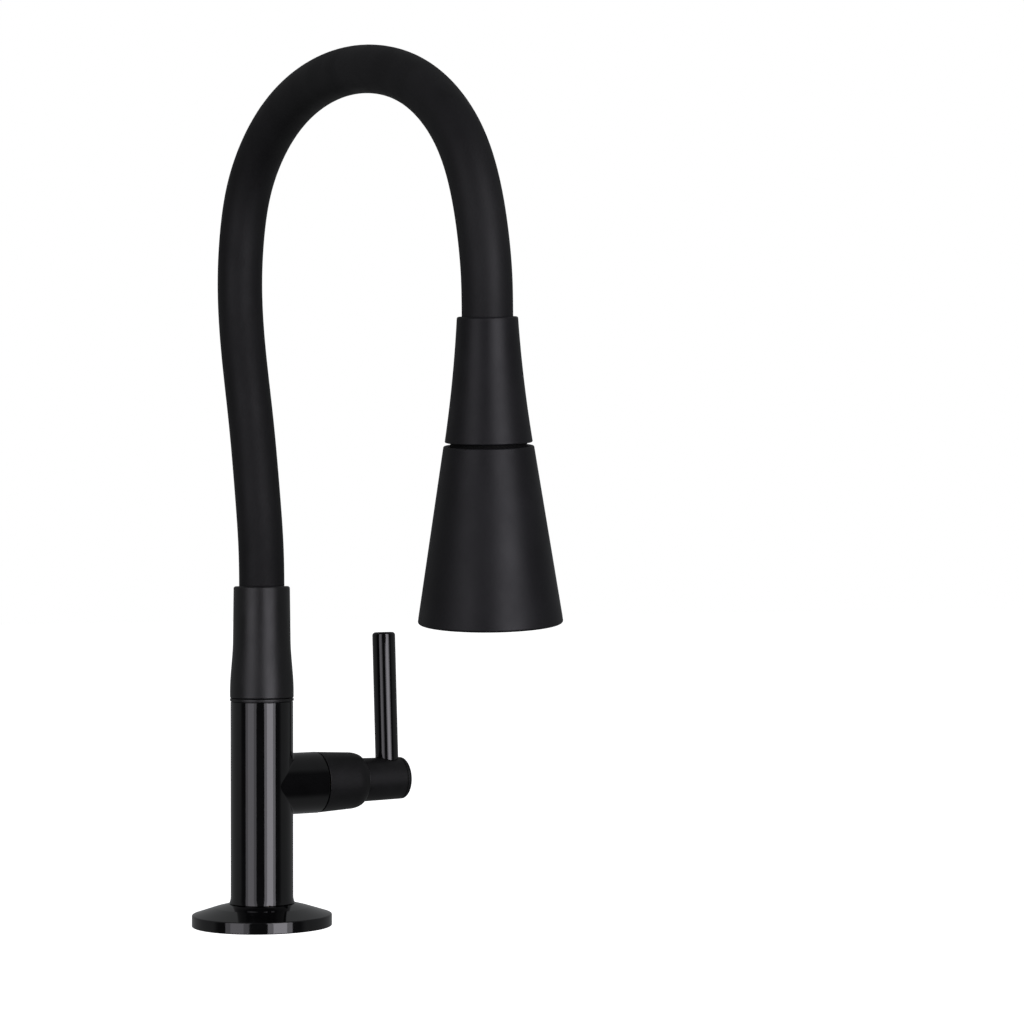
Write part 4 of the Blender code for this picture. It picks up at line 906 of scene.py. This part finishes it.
def centreline():
    """The gooseneck's line from the column's top into the head, as close points, and their run."""
    collar_top = Vector((0, 0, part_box("neck_collar")[1].z))
    down = head_place().to_3x3() @ Vector((0, 0, -1))
    lead = Vector((0, 0, SPLINE_LEAD))
    points = [collar_top - lead, collar_top]
    points += [Vector(p) * MM + collar_top for p in ROUTE]
    points += [head_top, head_top + down * SPLINE_LEAD]
    points = np.array([tuple(p) for p in points])
    knots = np.concatenate([[0], np.cumsum(np.linalg.norm(np.diff(points, axis=0), axis=1))])
    second = spline_bends(knots, points)
    dense = [np.array([0, 0, collar_top.z - HOSE_END])]
    for i in range(1, len(points) - 2):
        step = knots[i + 1] - knots[i]
        for t in np.arange(24) / 24:
            a, b = 1 - t, t
            bend = (a**3 - a) * second[i] + (b**3 - b) * second[i + 1]
            dense.append(a * points[i] + b * points[i + 1] + bend * step**2 / 6)
    dense.append(points[-2])
    dense.append(points[-2] + np.array(down) * HOSE_END)
    dense = np.array(dense)
    run = np.concatenate([[0], np.cumsum(np.linalg.norm(np.diff(dense, axis=0), axis=1))])
    run += collar_top.z - HOSE_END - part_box("column_body")[1].z
    return dense, run


class Hose:
    """Rings of a tube along the gooseneck's line, read by the length from the column's top."""

    def __init__(self):
        self.points, self.run = centreline()
        self.head = self.run[-1] - HOSE_END

    def at(self, along):
        return np.array([np.interp(along, self.run, self.points[:, k]) for k in range(3)])

    def ring(self, along, radius, sides):
        apart = 1.5 * MM
        ahead, behind = self.at(along + apart), self.at(along - apart)
        tangent = (ahead - behind) / np.linalg.norm(ahead - behind)
        side = np.array([1.0, 0, 0]) - tangent[0] * tangent
        side /= np.linalg.norm(side)
        up = np.cross(tangent, side)
        angles = np.arange(sides)[:, None] * math.tau / sides
        return self.at(along) + radius * (np.cos(angles) * side + np.sin(angles) * up)

    def tube(self, start, end, outer, inner, sides, spacing, wave=None):
        """A closed tube. wave is (depth, pitch) of ridges round its outside."""
        steps = max(2, round((end - start) / spacing))
        rings = []
        for along in np.linspace(start, end, steps + 1):
            radius = outer
            if wave:
                depth, pitch = wave
                radius -= depth * abs(math.cos(math.pi * along / pitch)) ** 3
            rings.append(self.ring(along, radius, sides))
        for along in np.linspace(end, start, steps + 1):
            rings.append(self.ring(along, inner, sides))
        return Shape().grid(rings, True)


def gooseneck():
    """Sleeve, core and tube, each in two runs.

    One runs over the lower joint, the other over the crown; both stay where they are made, on no
    body.
    """
    hose = Hose()
    ferrule_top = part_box("lower_ferrule")[1].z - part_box("column_body")[1].z
    inner = SLEEVE_RADIUS - SLEEVE_WALL
    core = inner - GAP
    parts = (
        ("sleeve", "sleeve_rubber", SLEEVE_RADIUS, inner, 64, 1.6 * MM, None,
         ferrule_top + GAP, hose.head + 13.0 * MM,
         ("neck_sleeve_lower", "neck_sleeve_lower_bend", "neck_sleeve_middle"),
         ("neck_sleeve_crown_bend", "neck_sleeve_upper")),
        ("core", "steel", core, core - CORE_WALL, 32, 0.8 * MM, (0.5 * MM, 3.2 * MM),
         ferrule_top - 17.4 * MM, hose.head + 30.6 * MM, ("gooseneck_core",), ()),
        ("tube", "silicone", TUBE_RADIUS, TUBE_RADIUS - TUBE_WALL, 20, 3 * MM, None,
         9.6 * MM, hose.head + 40.0 * MM, ("water_tube",), ()),
    )
    for name, slot, outer, bore, sides, spacing, wave, start, end, first, second in parts:
        runs = (
            ("lower", start, SEAM, first, "spout_base", "neck_middle",
             lower_bend - LOWER_REACH, lower_bend + LOWER_REACH),
            ("upper", SEAM, end, second, "neck_middle", "neck_tip",
             crown_bend + CROWN_REACH, crown_bend - CROWN_REACH),
        )
        for part, low, high, nodes, a, b, begin, finish in runs:
            label = f"{name}_{part}"
            mesh = hose.tube(low, high, outer, bore, sides, spacing, wave).mesh(label)
            obj = piece(label, mesh, slot, *nodes, body=False)
            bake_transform(obj)


# ---------------------------------------------------------------- spray head


def down(outline):
    """An outline given in lengths down the axis, as heights."""
    return [(radius, -along, *fillet) for radius, along, *fillet in outline]


def spray_head():
    place = head_place()
    bore = SLEEVE_RADIUS + GAP
    seat = UPPER_CONE - 3.6 * MM
    slope = (CONE_FOOT_RADIUS - CONE_RADIUS) / UPPER_CONE - CONE_CURVE * UPPER_CONE
    curve = []
    for t in np.linspace(0, 1, 33)[:-1]:
        along = CONE_STRAIGHT + (UPPER_CONE - CONE_STRAIGHT) * t
        curve.append((CONE_RADIUS + slope * along + CONE_CURVE * along**2, along))
    outline = [
        (bore, 0, 0.25 * MM),
        (CONE_RADIUS, 0, 1.5 * MM),
        *curve,
        (CONE_FOOT_RADIUS, UPPER_CONE, 0.55 * MM),
        (GROOVE_RADIUS + GAP, UPPER_CONE),
        (GROOVE_RADIUS + GAP, seat),
        (CONE_BORE, seat),
        (CONE_BORE, CONE_WEB_FOOT),
        (CONE_WEB_HOLE, CONE_WEB_FOOT),
        (CONE_WEB_HOLE, CONE_WEB_TOP),
        (bore, CONE_WEB_TOP),
    ]
    # The head takes the collar's coating with painted shade in its reflection
    shaded_coat = {"place": place, "steps": 8, "finish": "head_black_shaded"}
    turned("upper_cone", down(outline), "matt_black", "head_upper_cone", **shaded_coat)
    top, low = UPPER_CONE - 3.3 * MM, SHELL_TOP + 3.0 * MM
    outline = [(CONE_BORE, top), (GROOVE_RADIUS, top), (GROOVE_RADIUS, low), (CONE_BORE, low)]
    # The ring deep in the groove gets the nearly black finish as painted shade
    shaded_finish = {"place": place, "finish": "painted_shade_black"}
    turned("groove_ring", down(outline), "black_plastic", "detent_ring", **shaded_finish)
    radius, foot = SHELL_RADIUS, SHELL_FOOT_RADIUS
    web = SHELL_TOP + 3.3 * MM
    web_foot = web + 5.5 * MM
    inside = radius + (foot - radius) * (web_foot - SHELL_TOP) / SHELL_LENGTH - SHELL_WALL
    wall = []
    for t in np.linspace(0.04, 0.94, 16):
        wall.append((radius + (foot - radius) * t, SHELL_TOP + SHELL_LENGTH * t))
    outline = [
        (GROOVE_RADIUS + GAP, SHELL_TOP),
        (radius, SHELL_TOP, 0.7 * MM),
        *wall,
        (foot, SHELL_FOOT, 1.7 * MM),
        (foot - SHELL_WALL, SHELL_FOOT, 0.5 * MM),
        (inside, web_foot),
        (SHELL_HOLE, web_foot),
        (SHELL_HOLE, web),
        (GROOVE_RADIUS + GAP, web),
    ]
    turned("shell", down(outline), "matt_black", "spray_shell", **shaded_coat)
    spray_face(place)


def nozzle_places():
    """Two circles of nozzles, (radius, how many) each."""
    places = []
    for circle, count in ((16.5 * MM, 8), (23.5 * MM, 16)):
        for step in range(count):
            angle = math.tau * (step + 0.5) / count
            places.append((circle * math.cos(angle), circle * math.sin(angle)))
    return places


def spray_face(place):
    """Faceplate with its holes, the nozzles that poke through it, and the aerator."""
    back = FACE - PLATE_THICKNESS
    inner = PLATE_HOLE
    spread = SHELL_FOOT_RADIUS - SHELL_RADIUS
    outer = SHELL_RADIUS + spread * (back - SHELL_TOP) / SHELL_LENGTH - PLATE_EDGE
    sunk = FACE - 0.5 * MM
    edge = 0.2 * MM
    outline = [
        (inner, back),
        (outer, back),
        (outer, FACE, 0.3 * MM),
        (outer - 1.6 * MM, FACE, edge),
        (outer - 1.9 * MM, sunk, edge),
        (inner + 3.0 * MM, sunk, edge),
        (inner + 2.7 * MM, FACE, edge),
        (inner, FACE),
    ]
    fine = {"sides": 96, "steps": 3}
    plate = turned("faceplate", down(outline), "black_plastic", "spray_faceplate", **fine)
    past, hole = 1 * MM, 1.4 * MM
    drill = [(0, -FACE - past), (hole, -FACE - past), (hole, -back + past), (0, -back + past)]
    holes = Shape().scatter(drill, nozzle_places(), 24)
    carve(plate, [holes.mesh("faceplate_holes")])
    plate.data.transform(place)

    mat_foot = back - GAP
    mat_back, mat_edge = mat_foot - MAT_THICKNESS, outer - 0.3 * MM
    nozzles = Shape()
    outline = [(inner, mat_foot), (mat_edge, mat_foot), (mat_edge, mat_back), (inner, mat_back)]
    nozzles.turn(down(outline), 96)
    root = mat_foot - 0.5 * MM
    tip = [
        (0, root),
        (1.1 * MM, root),
        (1.1 * MM, FACE + 0.3 * MM),
        (0.95 * MM, FACE + 1.0 * MM, 0.25 * MM),
        (0.5 * MM, FACE + 1.0 * MM, 0.1 * MM),
        (0.42 * MM, FACE - 0.6 * MM),
        (0, FACE - 0.6 * MM),
    ]
    nozzles.scatter(down(tip), nozzle_places(), 24, 3)
    piece("nozzles", nozzles.mesh("nozzles", place), "silicone", "nozzle_mat")

    flange = FACE + GAP
    foot = flange + 1.5 * MM
    outline = [
        (AERATOR_HOLE, foot - AERATOR_LENGTH),
        (9.3 * MM, foot - AERATOR_LENGTH),
        (9.3 * MM, mat_back),
        (11.1 * MM, mat_back),
        (11.1 * MM, flange),
        (13.0 * MM, flange, 0.2 * MM),
        (13.0 * MM, foot, 0.4 * MM),
        (AERATOR_HOLE, foot, 0.4 * MM),
    ]
    turned("aerator_ring", down(outline), "brass", "aerator_housing", place=place, sides=96)
    top, end = foot - 17.2 * MM, foot - 0.8 * MM
    outline = [(0, top), (SCREEN_RADIUS, top), (SCREEN_RADIUS, end, 0.15 * MM), (0, end)]
    fine = {"sides": SMALL, "steps": 2}
    screen = turned("aerator_screen", down(outline), "black_plastic", "aerator_insert", **fine)
    pitch = 1.9 * MM
    places = []
    for row in range(-3, 4):
        for column_at in range(-3, 4):
            x = (column_at + (row % 2) / 2) * pitch
            y = row * pitch * math.sqrt(3) / 2
            if math.hypot(x, y) <= 5.4 * MM:
                places.append((x, y))
    low, high, cell = -foot - past, -foot + 4 * MM, 0.8 * MM
    cells = Shape().scatter([(0, low), (cell, low), (cell, high), (0, high)], places, 6)
    carve(screen, [cells.mesh("screen_cells")])
    screen.data.transform(place)


# ---------------------------------------------------------------- floor, light and camera


FORWARD = Vector((0.545, 0.839, 0)).normalized()  # the level direction of the view
RIGHT = Vector((0.839, -0.545, 0)).normalized()
FLOOR = 6  # half the floor's width
CAMERA_PLACE = (-1.4127, 0.1286, 0.1884)  # along FORWARD, along RIGHT, height


def studio():
    """A pale floor that lights nothing, and a pale world that is dim where the camera stands."""
    floor = bpy.data.meshes.new("floor")
    corners = [(-FLOOR, -FLOOR, 0), (FLOOR, -FLOOR, 0), (FLOOR, FLOOR, 0), (-FLOOR, FLOOR, 0)]
    floor.from_pydata(corners, [], [(0, 1, 2, 3)])
    glow = {"Emission_Color": (1, 1, 1, 1), "Emission_Strength": 1.0}
    made = Shader("floor", 0.9, Specular_IOR_Level=0.1, **glow)
    made.colours(made.noise(0.6, 3), (0.86, 0.86, 0.86), (0.9, 0.9, 0.9))
    floor.materials.append(made.material)
    obj = bpy.data.objects.new("floor", floor)
    bpy.context.scene.collection.objects.link(obj)
    obj.visible_diffuse = False
    obj.visible_glossy = False

    world = bpy.data.worlds.new("studio")
    bpy.context.scene.world = world
    world.use_nodes = True
    nodes, links = world.node_tree.nodes, world.node_tree.links
    dim = nodes["Background"]
    dim.inputs["Color"].default_value = (0.96, 0.98, 1.0, 1)
    white = nodes.new("ShaderNodeBackground")
    white.inputs["Color"].default_value = (1, 1, 1, 1)
    away = nodes.new("ShaderNodeVectorMath")
    away.operation = "DOT_PRODUCT"
    away.inputs[1].default_value = FORWARD
    ease = nodes.new("ShaderNodeMapRange")
    ease.interpolation_type = "SMOOTHSTEP"
    ease.inputs["From Min"].default_value = -0.35
    ease.inputs["From Max"].default_value = -0.1
    ease.inputs["To Min"].default_value = 0.04
    ease.inputs["To Max"].default_value = 0.22
    mix = nodes.new("ShaderNodeMixShader")
    path = nodes.new("ShaderNodeLightPath")
    links.new(nodes.new("ShaderNodeTexCoord").outputs["Generated"], away.inputs[0])
    links.new(away.outputs["Value"], ease.inputs["Value"])
    links.new(ease.outputs["Result"], dim.inputs["Strength"])
    links.new(path.outputs["Is Camera Ray"], mix.inputs["Fac"])
    links.new(dim.outputs["Background"], mix.inputs[1])
    links.new(white.outputs["Background"], mix.inputs[2])
    links.new(mix.outputs["Shader"], nodes["World Output"].inputs["Surface"])


def softbox(name, place, aim, width, height, radiance):
    """An area light of an even radiance, which the camera itself doesn't see."""
    light = bpy.data.lights.new(name, "AREA")
    light.shape = "RECTANGLE"
    light.size, light.size_y = width, height
    light.energy = radiance * math.pi * width * height
    light.color = (0.95, 0.925, 1.0)
    obj = bpy.data.objects.new(name, light)
    bpy.context.scene.collection.objects.link(obj)
    obj.location = place
    obj.rotation_euler = (Vector(aim) - Vector(place)).to_track_quat("-Z", "Y").to_euler()
    obj.visible_camera = False


def beside_camera(angle, distance, height):
    """A place at an angle from the direction back to the camera, to its right if positive."""
    turn = math.radians(angle)
    back = -FORWARD * math.cos(turn) + RIGHT * math.sin(turn)
    return back * distance + Vector((0, 0, height))


def lights():
    """Two soft boxes beside the camera, each brighter in its middle."""
    aim = (0, 0, 0.2)
    for name, angle, outer, inner in (("left", -36, 1.3, 0.9), ("right", 35, 2.4, 2.6)):
        softbox(f"box_{name}", beside_camera(angle, 1.7, 0.45), aim, 1.35, 1.9, outer)
        softbox(f"box_{name}_core", beside_camera(angle, 1.66, 0.45), aim, 0.7, 1.8, inner)


def camera():
    """A long lens at the faucet's mid height, looking up a little."""
    data = bpy.data.cameras.new("camera")
    data.sensor_width = 36
    data.lens = 96.68
    data.clip_end = 50
    obj = bpy.data.objects.new("camera", data)
    bpy.context.scene.collection.objects.link(obj)
    pitch, roll = math.radians(0.94), math.radians(0.14)
    look = FORWARD * math.cos(pitch) + Vector((0, 0, math.sin(pitch)))
    up = RIGHT.cross(look)
    right = RIGHT * math.cos(roll) - up * math.sin(roll)
    up = up * math.cos(roll) + RIGHT * math.sin(roll)
    back, aside, height = CAMERA_PLACE
    place = back * FORWARD + aside * RIGHT + Vector((0, 0, height))
    obj.matrix_world = Matrix.Translation(place) @ Matrix((right, up, -look)).transposed().to_4x4()
    bpy.context.scene.camera = obj


base_flange()
shank()
deck_clamp()
column()
handle()
collar()
gooseneck()
spray_head()
studio()
lights()
camera()
bpy.context.scene.view_settings.view_transform = "Standard"
